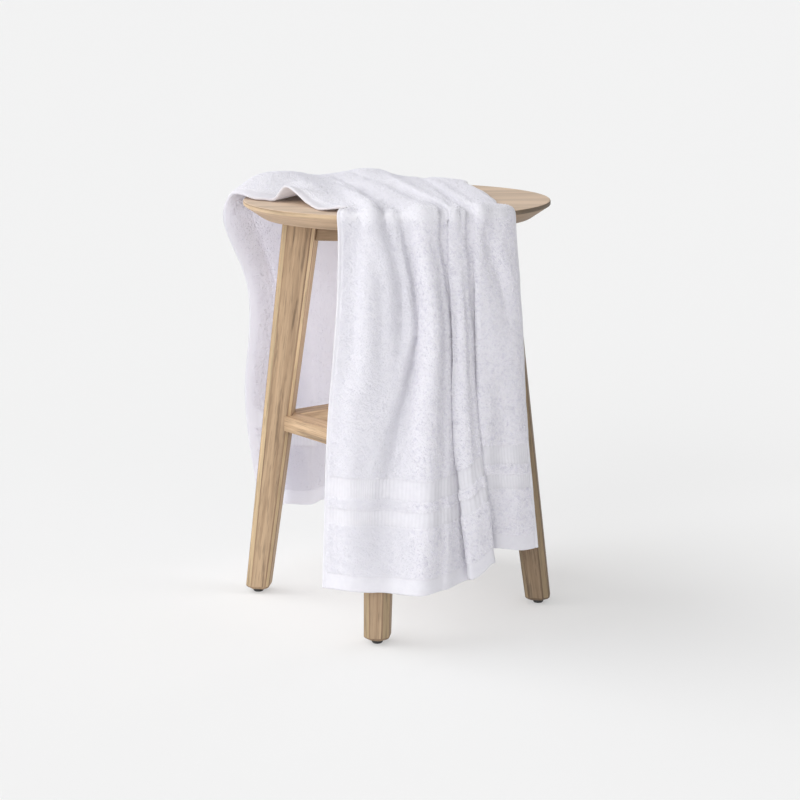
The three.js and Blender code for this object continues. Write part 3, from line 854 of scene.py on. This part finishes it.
def roughen(tree, shader, height, strength, distance):
    """Bumps a surface by a height, without changing its shape."""
    bump = add(tree, "ShaderNodeBump", [(height, "Height")], strength=strength, distance=distance)
    tree.links.new(bump.outputs[0], shader.inputs["Normal"])


def colour_of(shader):
    """The socket that colours a shader."""
    return shader.inputs["Base Color"].links[0].from_socket


def let_light_through(tree, shader, colour, share):
    """Lets a share of the light pass through a surface, as thin cotton does."""
    through = feed(tree, "ShaderNodeBsdfTranslucent", colour)
    mixed = feed(tree, "ShaderNodeMixShader", share, shader.outputs[0], through)
    tree.links.new(mixed, tree.nodes["Material Output"].inputs["Surface"])


# %% [markdown]
# ## Terry
# Terry is thousands of small cotton loops that catch the light unevenly. Close up it reads as a
# fine crumbly surface, so the bump has three sizes: clumps, loops and yarn. On the flat bands
# the pile attribute is 0, and a fine rib across the band takes over, read from the UV map, and
# painted shade makes the rib's grooves a little darker.
#
# Bare cloth is a little greyer than the loops, as the front bands are in the photo. The photo
# doesn't show the bands behind. In the weak light there they would look much too grey, so there
# painted light gives the cloth most of the loops' white.

# %% Terry material
RIB_PITCH = 3.6 * MM
RIB_RELIEF = 0.45
PAINTED_RIB_SHADE = 0.016
BAND_SHADE = -0.003
YARN_RELIEF = 0.25
COTTON = (0.874, 0.869, 0.912, 1)
COTTON_DEEP = (0.840, 0.834, 0.882, 1)
LOOP_WHITE = (0.934, 0.928, 0.966, 1)
LOOP_WHITE_DEEP = (0.890, 0.884, 0.935, 1)
PAINTED_LIGHT_BEHIND = 0.9
WHITENS_OVER = 30 * MM


def cotton(name, light=COTTON, deep=COTTON_DEEP, scale=150.0, span=(0.30, 0.60)):
    """A material with the matt white of cotton, its tree, shader, place and soft clumps."""
    material, tree, shader = new_material(name)
    place = own_place(tree)
    clumps = mottling(tree, place, scale=scale, detail=3.0, roughness=0.6)
    tree.links.new(ramp(tree, clumps, deep, light, span), shader.inputs["Base Color"])
    set_sockets(shader, {"Roughness": 1.0, "Specular IOR Level": 0.1, "Sheen Weight": 0.2,
                         "Sheen Roughness": 0.6})
    return material, tree, shader, place, clumps


def cloth_material():
    """The cloth itself: crumbly where the pile grows, ribbed on the bands, smooth at the hems."""
    material, tree, shader, place, clumps = cotton("white_terry")
    pile_here, rib_here, thin_here = (
        add(tree, "ShaderNodeAttribute", attribute_name=name).outputs["Fac"]
        for name in ("pile", "rib", "lets_light_through"))
    flat = add(tree, "ShaderNodeUVMap", uv_map="flat")
    across_the_cloth = feed(tree, "ShaderNodeSeparateXYZ", flat.outputs[0])
    loops = mottling(tree, place, scale=620.0, detail=3.0, roughness=0.65)
    crumbs = maths(tree, "MULTIPLY", maths(tree, "ADD", clumps, loops), pile_here)
    turn = maths(tree, "MULTIPLY", across_the_cloth, 2 * math.pi / RIB_PITCH)
    ribs = maths(tree, "MULTIPLY", maths(tree, "SINE", turn), rib_here)
    relief = maths(tree, "MULTIPLY_ADD", ribs, RIB_RELIEF, crumbs)
    weave = maths(tree, "MULTIPLY_ADD", loops, YARN_RELIEF, relief)
    roughen(tree, shader, weave, 0.45, 0.8 * MM)

    depth = add(tree, "ShaderNodeSeparateXYZ", [(place, 0)]).outputs[1]
    # Painted light: behind the seat, bare cloth is lightened to most of the loops' white.
    behind = stretched(tree, depth, (axis.y, axis.y + WHITENS_OVER), (0, PAINTED_LIGHT_BEHIND))
    whiter = maths(tree, "MAXIMUM", pile_here, behind)
    under_loops = add(tree, "ShaderNodeMix", [(whiter, 0), (colour_of(shader), 6)],
                      data_type="RGBA")
    set_sockets(under_loops, {7: LOOP_WHITE})
    # Painted shade: the rib's grooves are a little darker and its crests a little lighter.
    painted_rib_shade = maths(tree, "MULTIPLY_ADD", ribs, PAINTED_RIB_SHADE, 1.0)
    band_shade = maths(tree, "MULTIPLY_ADD", rib_here, BAND_SHADE, painted_rib_shade)
    shaded = scaled(tree, under_loops.outputs[2], band_shade)
    tree.links.new(shaded, shader.inputs["Base Color"])
    let_light_through(tree, shader, shaded, thin_here)
    return material


# %% [markdown]
# The loops have materials of their own. On the right panel, which lies in shade, the photo shows
# the pile as light tufts with darker gaps between, so its loops have a stronger and finer pattern,
# whose darker gaps are painted shade.
# Inside the lobe more light passes through them.

# %% Pile material
LOOP_GLOW = 0.35
LOOP_GLOW_INSIDE = 0.55
TUFT_TIP = (0.965, 0.955, 0.995, 1)
# The darker gaps between the tufts are painted shade.
TUFT_GAP_PAINTED_SHADE = (0.800, 0.790, 0.862, 1)


def loop_material(name, glow, light=LOOP_WHITE, deep=LOOP_WHITE_DEEP, **pattern):
    """The loops' tips, which let a part of the light through."""
    material, tree, shader, _, _ = cotton(name, light, deep, **pattern)
    let_light_through(tree, shader, light, glow)
    return material


terry = cloth_material()
terry_loops = loop_material("terry_loops", LOOP_GLOW)
terry_loops_inside = loop_material("terry_loops_inside", LOOP_GLOW_INSIDE)
terry_tufts = loop_material("terry_tufts", LOOP_GLOW, TUFT_TIP, TUFT_GAP_PAINTED_SHADE, scale=300.0,
                            span=(0.40, 0.55))
towel.data.materials.append(terry)


# %% [markdown]
# ## The pile as real nubs
# Bump can't change an outline, and a towel's edge against the light is fuzzy. So small nubs, the
# tips of the loops, are scattered over the cloth by Geometry Nodes. The tree has named inputs for
# density, width, lean and seed, reads where terry grows from an attribute, and ends in Realize
# Instances and Set Material. One nub is a tiny closed pyramid.
#
# Pile is brushed this way and that by use, so a slow noise leans whole groups of nubs together and
# each nub tilts a little by itself. Another noise makes them larger and smaller in tufts. On the
# right panel they lean most, which breaks its even shade as in the photo.

# %% Make one nub
NUB_TOP = 0.6
NUB_ROOT = -0.3


def nub_mesh():
    """A closed pyramid on three points, one unit round its middle and a little sunk at its base."""
    mesh = bpy.data.meshes.new("nub")
    base = [(math.cos(a), math.sin(a), NUB_ROOT) for a in (0, 2 * math.pi / 3, 4 * math.pi / 3)]
    mesh.from_pydata(base + [(0, 0, NUB_TOP)], [], [(0, 1, 3), (1, 2, 3), (2, 0, 3), (2, 1, 0)])
    return bpy.data.objects.new("nub", mesh)


# %% Build the pile's node tree
NUB_TILT = 0.25
FULL_TURN = 6.28
SMALLEST_NUB = 0.6
LARGEST_NUB = 1.3
LEAST_TUFT = 0.4
TUFT_GROWTH = 1.2
PILE_INPUTS = dict(Density="Float", Width="Float", Lean="Float", Seed="Int")


def pile_tree(nub, mask, material):
    """Geometry Nodes that scatter nubs over the faces where the mask attribute is 1."""
    tree = bpy.data.node_groups.new("pile_" + mask, "GeometryNodeTree")
    tree.interface.new_socket("Geometry", in_out="INPUT", socket_type="NodeSocketGeometry")
    for name, kind in PILE_INPUTS.items():
        tree.interface.new_socket(name, in_out="INPUT", socket_type="NodeSocket" + kind)
    tree.interface.new_socket("Geometry", in_out="OUTPUT", socket_type="NodeSocketGeometry")
    source = tree.nodes.new("NodeGroupInput")
    result = tree.nodes.new("NodeGroupOutput")
    grows = add(tree, "GeometryNodeInputNamedAttribute", data_type="FLOAT", name=mask)
    density = maths(tree, "MULTIPLY", source.outputs["Density"], grows.outputs[0])
    scatter = add(tree, "GeometryNodeDistributePointsOnFaces",
                  [(source.outputs["Geometry"], "Mesh"), (density, "Density"),
                   (source.outputs["Seed"], "Seed")])

    brushed = add(tree, "ShaderNodeTexNoise", scale=240.0, detail=2.0)
    lean = feed(tree, "ShaderNodeVectorMath", brushed.outputs["Color"], (0.5, 0.5, 0.5),
                operation="SUBTRACT")
    leant = feed(tree, "FunctionNodeRotateRotation", scatter.outputs["Rotation"],
                 scaled(tree, lean, source.outputs["Lean"]), rotation_space="LOCAL")
    turn = add(tree, "FunctionNodeRandomValue", [(source.outputs["Seed"], "Seed")],
               data_type="FLOAT_VECTOR")
    set_sockets(turn, {0: (-NUB_TILT, -NUB_TILT, 0.0), 1: (NUB_TILT, NUB_TILT, FULL_TURN)})
    tilt = feed(tree, "FunctionNodeRotateRotation", leant, turn.outputs[0], rotation_space="LOCAL")

    vary = add(tree, "FunctionNodeRandomValue", [(source.outputs["Seed"], "Seed")], data_type="FLOAT")
    set_sockets(vary, {2: SMALLEST_NUB, 3: LARGEST_NUB})
    tufts = add(tree, "ShaderNodeTexNoise", scale=210.0, detail=2.0)
    tuft_size = maths(tree, "MULTIPLY_ADD", tufts.outputs[0], TUFT_GROWTH, LEAST_TUFT)
    each = maths(tree, "MULTIPLY", tuft_size, vary.outputs[1])
    size = maths(tree, "MULTIPLY", source.outputs["Width"], each)

    model = add(tree, "GeometryNodeObjectInfo", object=nub)
    place = add(tree, "GeometryNodeInstanceOnPoints",
                [(scatter.outputs["Points"], "Points"), (model.outputs["Geometry"], "Instance"),
                 (tilt, "Rotation"), (size, "Scale")])
    real = add(tree, "GeometryNodeRealizeInstances", [(place.outputs[0], 0)])
    finish = add(tree, "GeometryNodeSetMaterial", [(real.outputs[0], 0)], material=material)
    tree.links.new(finish.outputs[0], result.inputs[0])
    return tree


def grow_pile(name, material, density, width, lean, seed):
    """One patch of pile as a plain mesh, grown where the mask of the same name is 1."""
    nub = nub_mesh()
    carrier = new_object(name + "_carrier", towel.data)
    tree = pile_tree(nub, name, material)
    modifier = carrier.modifiers.new("pile", "NODES")
    modifier.node_group = tree
    sockets = {item.name: item.identifier for item in tree.interface.items_tree
               if item.in_out == "INPUT"}
    for socket, value in zip(PILE_INPUTS, (density, width, lean, seed)):
        modifier[sockets[socket]] = value
    bpy.context.view_layer.update()
    evaluated = carrier.evaluated_get(bpy.context.evaluated_depsgraph_get())
    mesh = bpy.data.meshes.new_from_object(evaluated)
    bpy.data.objects.remove(carrier)
    bpy.data.objects.remove(nub)
    mesh.name = name
    print(name, "triangles", len(mesh.polygons))
    return new_object(name, mesh)


# %% Grow the pile on each part of the towel
PILE_PATCHES = [
    dict(name="pile_front_left", material=terry_loops, loops=48000, width=0.95, lean=0.8, seed=3),
    dict(name="pile_front_right", material=terry_tufts, loops=48000, width=1.10, lean=1.9, seed=4),
    dict(name="pile_seat", material=terry_loops, loops=47000, width=0.95, lean=1.0, seed=5),
    dict(name="pile_back", material=terry_loops, loops=30000, width=0.95, lean=0.9, seed=7),
    dict(name="pile_inside", material=terry_loops_inside, loops=16000, width=0.95, lean=0.9, seed=9),
]


def area_of(mask):
    """Area of the towel's faces where a mask is 1, with its fading border counted in part."""
    values = np.zeros(len(towel.data.vertices), dtype=np.float32)
    towel.data.attributes[mask].data.foreach_get("value", values)
    return sum(face.area * values[list(face.vertices)].mean() for face in towel.data.polygons)


pile_patches = []
for patch in PILE_PATCHES:
    density = patch["loops"] / area_of(patch["name"])
    pile_patches.append(grow_pile(patch["name"], patch["material"], density, patch["width"] * MM,
                                  patch["lean"], patch["seed"]))


# %% [markdown]
# ## Wood
# The stool is pale hardwood with fine dark pores, soft grain lines and a few darker streaks. The
# grain always runs along a board, so each piece turns the pattern to its own length first and
# then squeezes it, which draws the noise out into lines. On the seat's edge the board is cut
# across its layers, which show as level lines.

# %% Wood material
PORE_DARKNESS = 0.26
STREAK_DARKNESS = 0.40
SEED_SIDEWAYS = 0.7
LAYER_SQUEEZE = 3
UPRIGHT = Vector((0, 0, 1))


def wood_material(name, along, centre, light, dark, seed, marks=1.0, layered=False):
    """Hardwood whose grain runs along a direction, with its own place in the pattern.

    Marks is how dark the pores and streaks are. Layered wood is cut across its rings and shows
    them as level lines."""
    material, tree, shader = new_material(name)
    to_grain = along.normalized().rotation_difference(UPRIGHT)
    turned = add(tree, "ShaderNodeMapping", [(own_place(tree), "Vector")])
    offset = Vector((seed, seed * SEED_SIDEWAYS, 0))
    set_sockets(turned, {"Rotation": to_grain.to_euler(),
                         "Location": -(to_grain @ centre) + offset})

    def drawn_out(squeeze, **pattern):
        lines = add(tree, "ShaderNodeMapping", [(turned.outputs[0], "Vector")])
        scale = (squeeze, squeeze, LAYER_SQUEEZE) if layered else (1, 1, squeeze)
        set_sockets(lines, {"Scale": scale})
        return mottling(tree, lines.outputs[0], **pattern)

    grain = drawn_out(0.035, scale=210.0, detail=5.0, roughness=0.65, distortion=0.15)
    broad = drawn_out(0.10, scale=42.0, detail=2.0)
    pores = drawn_out(0.05, scale=900.0, detail=2.0)
    streaks = drawn_out(0.055, scale=190.0, detail=4.0, roughness=0.7, distortion=0.3)

    tone = stretched(tree, broad, (0.3, 0.7), (0.84, 1.12))
    pore_shade = stretched(tree, pores, (0.56, 0.68), (1.0, 1 - PORE_DARKNESS * marks))
    streak_shade = stretched(tree, streaks, (0.54, 0.66), (1.0, 1 - STREAK_DARKNESS * marks))
    marked = maths(tree, "MULTIPLY", maths(tree, "MULTIPLY", tone, pore_shade), streak_shade)
    colour = scaled(tree, ramp(tree, grain, dark, light, (0.36, 0.60)), marked)
    tree.links.new(colour, shader.inputs["Base Color"])
    roughen(tree, shader, marked, 0.25, 0.4 * MM)
    set_sockets(shader, {"Roughness": 0.58, "Specular IOR Level": 0.35})
    return material


# %% [markdown]
# ## The stool's pieces with softened edges
# Sanded wood has no knife edges, and it is the thin light line along a rounded edge that makes a
# board look real. Each wooden piece is a copy of the imported one, with its flat faces made whole
# again and its edges rounded by a small bevel. The legs' corners are planed off. In the photo
# those narrow faces are paler than the wide ones, with a fine dark line on either side, which is
# painted shadow: the legs' rounded edges get a darker wood.

# %% Copy a wooden node with rounded edges
EDGE_ROUNDING = 0.9 * MM
ROUNDING_STEPS = 2
SAME_POINT = 0.00001
FLAT_WITHIN = math.radians(0.5)
EDGE_FROM = math.radians(20)


def softened(node, name):
    """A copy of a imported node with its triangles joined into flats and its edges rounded."""
    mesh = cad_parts[node].data.copy()
    mesh.name = name
    mesh.materials.clear()
    work = bmesh.new()
    work.from_mesh(mesh)
    bmesh.ops.remove_doubles(work, verts=work.verts, dist=SAME_POINT)
    bmesh.ops.dissolve_limit(work, angle_limit=FLAT_WITHIN, verts=work.verts, edges=work.edges)
    work.to_mesh(mesh)
    work.free()
    piece = new_object(name, mesh)
    bevel = piece.modifiers.new("rounding", "BEVEL")
    bevel.width = EDGE_ROUNDING
    bevel.segments = ROUNDING_STEPS
    bevel.limit_method = "ANGLE"
    bevel.angle_limit = EDGE_FROM
    bpy.context.view_layer.update()
    shaped = bpy.data.meshes.new_from_object(
        piece.evaluated_get(bpy.context.evaluated_depsgraph_get()))
    piece.modifiers.clear()
    piece.data = shaped
    return piece


def long_way(mesh):
    """The direction in which a piece is longest, from the spread of its points, and its middle."""
    points = np.array([v.co for v in mesh.vertices])
    _, _, directions = np.linalg.svd(points - points.mean(axis=0), full_matrices=False)
    return Vector(directions[0]), Vector(points.mean(axis=0))


# %% The legs, rails and cross bars
# A tone makes a piece's wood lighter or darker. On the legs it is painted light and shade, because
# the legs stand in light and shade that differ more in the photo than the lamps here give, and on
# the cross bars under the seat it is painted shade. A leg's ten largest faces are its four wide
# ones, its four planed corners and its two ends, and all others lie on its rounded edges.
LEG_LIGHT = (0.640, 0.455, 0.290)
LEG_DARK = (0.440, 0.295, 0.180)
LEG_CORNER = (0.640, 0.470, 0.285)
LEG_PAINTED_LIGHT_AND_SHADE = dict(front=0.62, right=0.41, back=0.76, left=0.78)
RAIL_TONE = 0.88
CROSS_BAR_PAINTED_SHADE = 0.62
CORNER_TONE = 1.14
CORNER_GRAIN = 0.85
EDGE_SHADOW_TONE = 0.92
CORNER_SEED = 40
EDGE_SEED = 60
WIDE_FACES = 4
LARGE_FACES = 10
BAR_NAMES = ["rail_front_right", "rail_back_right", "rail_back_left", "rail_front_left",
             "cross_bar_side_to_side", "cross_bar_front_to_back"]
LEG_SEEDS = dict(first=1.3, step=2.1)
BAR_SEEDS = dict(first=11.7, step=1.9)
wooden_pieces = []


def toned(colour, tone):
    """A colour made lighter or darker."""
    return [channel * tone for channel in colour]


def make_wooden(node, name, seed, tone, planed=False):
    """Replaces one packed wooden node by its softened copy with grain along its length.

    A planed piece has paler wood on its planed-off corners and painted shadow, a darker wood, on its
    rounded edges."""
    piece = softened(node, name)
    direction, centre = long_way(piece.data)
    dark = toned(LEG_DARK, tone)
    woods = [(name + "_wood", toned(LEG_LIGHT, tone), dark, seed)]
    if planed:
        corner = toned(LEG_CORNER, tone * CORNER_TONE)
        # Painted shadow: the rounded edges get a darker wood for the fine dark line beside each face.
        edge = toned(dark, EDGE_SHADOW_TONE)
        woods.append((name + "_corner_wood", corner, toned(corner, CORNER_GRAIN),
                      seed + CORNER_SEED))
        woods.append((name + "_edge_painted_shadow_wood", edge, edge, seed + EDGE_SEED))
        by_size = sorted(piece.data.polygons, key=lambda face: -face.area)
        for rank, face in enumerate(by_size):
            face.material_index = (rank >= WIDE_FACES) + (rank >= LARGE_FACES)
    for wood_name, light, deep, place in woods:
        piece.data.materials.append(
            wood_material(wood_name, direction, centre, light, deep, place))
    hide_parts(node)
    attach(piece, "root")
    wooden_pieces.append(piece)


# Each leg's tone is painted light and shade, and the cross bars' tone is painted shade.
for number, (side, tone) in enumerate(LEG_PAINTED_LIGHT_AND_SHADE.items()):
    seed = LEG_SEEDS["first"] + LEG_SEEDS["step"] * number
    make_wooden("leg_" + side, "stool_leg_" + side, seed, tone, planed=True)
for number, bar in enumerate(BAR_NAMES):
    seed = BAR_SEEDS["first"] + BAR_SEEDS["step"] * number
    make_wooden(bar, "stool_" + bar, seed, CROSS_BAR_PAINTED_SHADE if bar.startswith("cross") else RAIL_TONE)
print("wooden pieces", len(wooden_pieces))

# %% [markdown]
# ## The seat
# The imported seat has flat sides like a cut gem. A turned disc is made anew from the same box: its
# profile runs from the middle of the underside, over the bevel, the narrow band and its rounded
# corners, to the middle of the top, and is spun round the axis.

# %% Turn the seat
SEAT_STEPS = 192
UNDERSIDE_RADIUS = 147 * MM
SEAT_BAND = 4.3 * MM
SEAT_ROUNDING = 1.5 * MM
ARC_STEPS = 4
LOW_EDGE = dict(inward=1.2 * MM, up=0.6 * MM)
BAND_EDGE = dict(inward=0.4 * MM, down=0.6 * MM)
TOP_DEPTH = 0.4 * MM


def seat_profile():
    """Radius and level of each point on the seat's side, from the underside to the top."""
    low, high = seat_low.z, seat_high.z
    profile = [
        (UNDERSIDE_RADIUS - LOW_EDGE["inward"], low),
        (UNDERSIDE_RADIUS, low + LOW_EDGE["up"]),
        (SEAT_RADIUS - BAND_EDGE["inward"], high - SEAT_BAND - BAND_EDGE["down"]),
        (SEAT_RADIUS, high - SEAT_BAND),
    ]
    for k in range(ARC_STEPS + 1):
        angle = math.radians(90 * k / ARC_STEPS)
        profile.append((SEAT_RADIUS - SEAT_ROUNDING * (1 - math.cos(angle)),
                        high - SEAT_ROUNDING * (1 - math.sin(angle))))
    return profile


def turned_seat():
    """The seat as a closed disc of quads, its top, band and bevel told apart by height."""
    work = bmesh.new()
    turns = [2 * math.pi * k / SEAT_STEPS for k in range(SEAT_STEPS)]
    rings = [[work.verts.new((axis.x + radius * math.cos(turn), axis.y + radius * math.sin(turn),
                              level)) for turn in turns]
             for radius, level in seat_profile()]
    for below, above in zip(rings, rings[1:]):
        for k in range(SEAT_STEPS):
            after = (k + 1) % SEAT_STEPS
            face = work.faces.new((below[k], below[after], above[after], above[k]))
            face.smooth = True
    work.faces.new(list(reversed(rings[0])))
    work.faces.new(rings[-1])
    for face in work.faces:
        under_top = seat_high.z - face.calc_center_median().z
        if under_top > TOP_DEPTH:
            face.material_index = 1 if under_top < SEAT_BAND + TOP_DEPTH else 2
    mesh = bpy.data.meshes.new("stool_seat")
    work.to_mesh(mesh)
    work.free()
    return new_object("stool_seat", mesh)


seat = turned_seat()

# %% [markdown]
# The top, the band and the bevel are one board, but they catch the light so differently that each
# has a wood of its own, whose colour carries painted light and shade: the bevel, which faces down,
# is darker. Towards the right the band and the bevel turn into the shade of the room, and in the
# photo they get much darker there than the lamps below make them. So painted shade darkens their
# colour towards the right, down to a share of it that is given for each wood.

# %% Give the seat its three woods
SHADE_STARTS = 50 * MM
SHADE_ENDS = 130 * MM
SEAT_WOODS = [
    dict(name="stool_seat_wood", along=Vector((1, 0.12, 0)), light=(0.645, 0.495, 0.370),
         dark=(0.603, 0.460, 0.340), seed=31.0, marks=0.25, layered=False, painted_shade_share=1.0),
    dict(name="stool_band_wood", along=UPRIGHT, light=(0.670, 0.500, 0.330),
         dark=(0.490, 0.345, 0.215), seed=33.0, marks=0.8, layered=True, painted_shade_share=0.26),
    dict(name="stool_bevel_wood", along=UPRIGHT, light=(0.565, 0.405, 0.272),
         dark=(0.495, 0.350, 0.236), seed=35.0, marks=0.5, layered=True, painted_shade_share=0.55),
]


def paint_shade_to_the_right(material, share):
    """Paints shade on a wood towards the right, until a share of its colour is left."""
    tree = material.node_tree
    shader = tree.nodes["Principled BSDF"]
    sideways = feed(tree, "ShaderNodeSeparateXYZ", own_place(tree))
    shade = stretched(tree, sideways, (axis.x + SHADE_STARTS, axis.x + SHADE_ENDS), (1.0, share))
    tree.links.new(scaled(tree, colour_of(shader), shade), shader.inputs["Base Color"])


# Painted shade: the band and the bevel get darker towards the right.
for wood in SEAT_WOODS:
    painted_shade_share = wood.pop("painted_shade_share")
    material = wood_material(centre=Vector(axis), **wood)
    seat.data.materials.append(material)
    if painted_shade_share < 1:
        paint_shade_to_the_right(material, painted_shade_share)
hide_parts("seat")
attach(seat, "root")


# %% [markdown]
# ## Glides
# The black glides are small mouldings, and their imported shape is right. They only need a plastic
# that is not perfectly even.

# %% Glide plastic
def glide_material():
    """Black moulded plastic, slightly mottled."""
    material, tree, shader = new_material("glide_black")
    mottle = mottling(tree, own_place(tree), scale=400.0, detail=2.0)
    colour = ramp(tree, mottle, (0.012, 0.012, 0.012), (0.035, 0.034, 0.033))
    tree.links.new(colour, shader.inputs["Base Color"])
    roughen(tree, shader, mottle, 0.2, 0.1 * MM)
    set_sockets(shader, {"Roughness": 0.45})
    return material


glide_black = glide_material()
for side in LEG_PAINTED_LIGHT_AND_SHADE:
    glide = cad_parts["glide_" + side]
    glide.data.materials.clear()
    glide.data.materials.append(glide_black)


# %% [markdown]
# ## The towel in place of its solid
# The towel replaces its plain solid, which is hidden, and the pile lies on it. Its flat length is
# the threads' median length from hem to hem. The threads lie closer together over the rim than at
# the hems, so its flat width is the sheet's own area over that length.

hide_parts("towel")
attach(towel, "root")
for patch in pile_patches:
    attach(patch, "root")


# %% [markdown]
# ## Floor and light
# The photo was taken on a white sweep under big soft lights: the floor runs on without a horizon,
# and the shadow is a faint pool to the right. A very large plane that glows a little is the floor.
# An even white world fills the shadows. Four wide suns stand for the room's soft lights: one
# from the left, one from the front left, one from the front and a weak one from behind on the left.

# %% Lay the floor
FLOOR_HALF = 90.0
FLOOR_COLOUR = (0.50, 0.50, 0.50, 1)
FLOOR_GLOW = 0.388
WHITE = (1, 1, 1, 1)


def lay_floor():
    """A pale plane far larger than the view."""
    mesh = bpy.data.meshes.new("floor")
    corner = FLOOR_HALF
    mesh.from_pydata([(-corner, -corner, 0), (corner, -corner, 0), (corner, corner, 0),
                      (-corner, corner, 0)], [], [(0, 1, 2, 3)])
    floor = new_object("floor", mesh)
    material, _, shader = new_material("floor_white")
    set_sockets(shader, {"Base Color": FLOOR_COLOUR, "Emission Color": WHITE,
                         "Emission Strength": FLOOR_GLOW, "Roughness": 1.0,
                         "Specular IOR Level": 0.0})
    floor.data.materials.append(material)


lay_floor()

# %% Hang the suns
# A place is the way from the towel to the light, and a width is how wide it looks from there, in
# degrees.
WORLD_STRENGTH = 0.46
LIGHTS = [
    dict(name="side_window", power=1.45, width=50, place=(-0.68, 0.05, 0.73)),
    dict(name="front_window", power=1.64, width=45, place=(-0.55, -0.80, 0.25)),
    dict(name="front_fill", power=0.64, width=60, place=(0.35, -0.92, 0.10)),
    dict(name="back_window", power=0.45, width=60, place=(-0.72, 0.62, 0.30)),
]


def turn_back_to(light, way):
    """Turns a light so that its back faces a given way, and it shines the other way."""
    light.rotation_euler = Vector(way).to_track_quat("Z", "Y").to_euler()


world = bpy.data.worlds.new("studio")
world.use_nodes = True
set_sockets(world.node_tree.nodes["Background"], {"Color": WHITE, "Strength": WORLD_STRENGTH})
bpy.context.scene.world = world
for light in LIGHTS:
    sun_data = bpy.data.lights.new(light["name"], "SUN")
    sun_data.energy = light["power"]
    sun_data.angle = math.radians(light["width"])
    turn_back_to(new_object(light["name"], sun_data), light["place"])

# %% [markdown]
# White terry lets some light through. In the photo that light makes the inner side of the back end
# nearly as bright as the front. A small dim lamp inside the stool stands for it. It shines to the
# left, back and down into the lobe, and the camera doesn't see it.

# %% Hang the lamp inside the stool
LAMP_POWER = 0.31
LAMP_SIZE = (100 * MM, 200 * MM)
LAMP_COLOUR = (0.97, 0.97, 1.0)
LAMP_PLACE = dict(right=0.065, forward=0.02, height=0.30)
LAMP_BACK = (0.85, -0.3, 0.5)

lamp_data = bpy.data.lights.new("light_through_the_cloth", "AREA")
lamp_data.energy = LAMP_POWER
lamp_data.shape = "RECTANGLE"
lamp_data.size, lamp_data.size_y = LAMP_SIZE
lamp_data.color = LAMP_COLOUR
lamp = new_object("light_through_the_cloth", lamp_data)
lamp.location = (axis.x + LAMP_PLACE["right"], axis.y - LAMP_PLACE["forward"], LAMP_PLACE["height"])
turn_back_to(lamp, LAMP_BACK)
lamp.visible_camera = False

# %% Show the colours as they are
bpy.context.scene.view_settings.view_transform = "Standard"
bpy.context.scene.view_settings.look = "None"
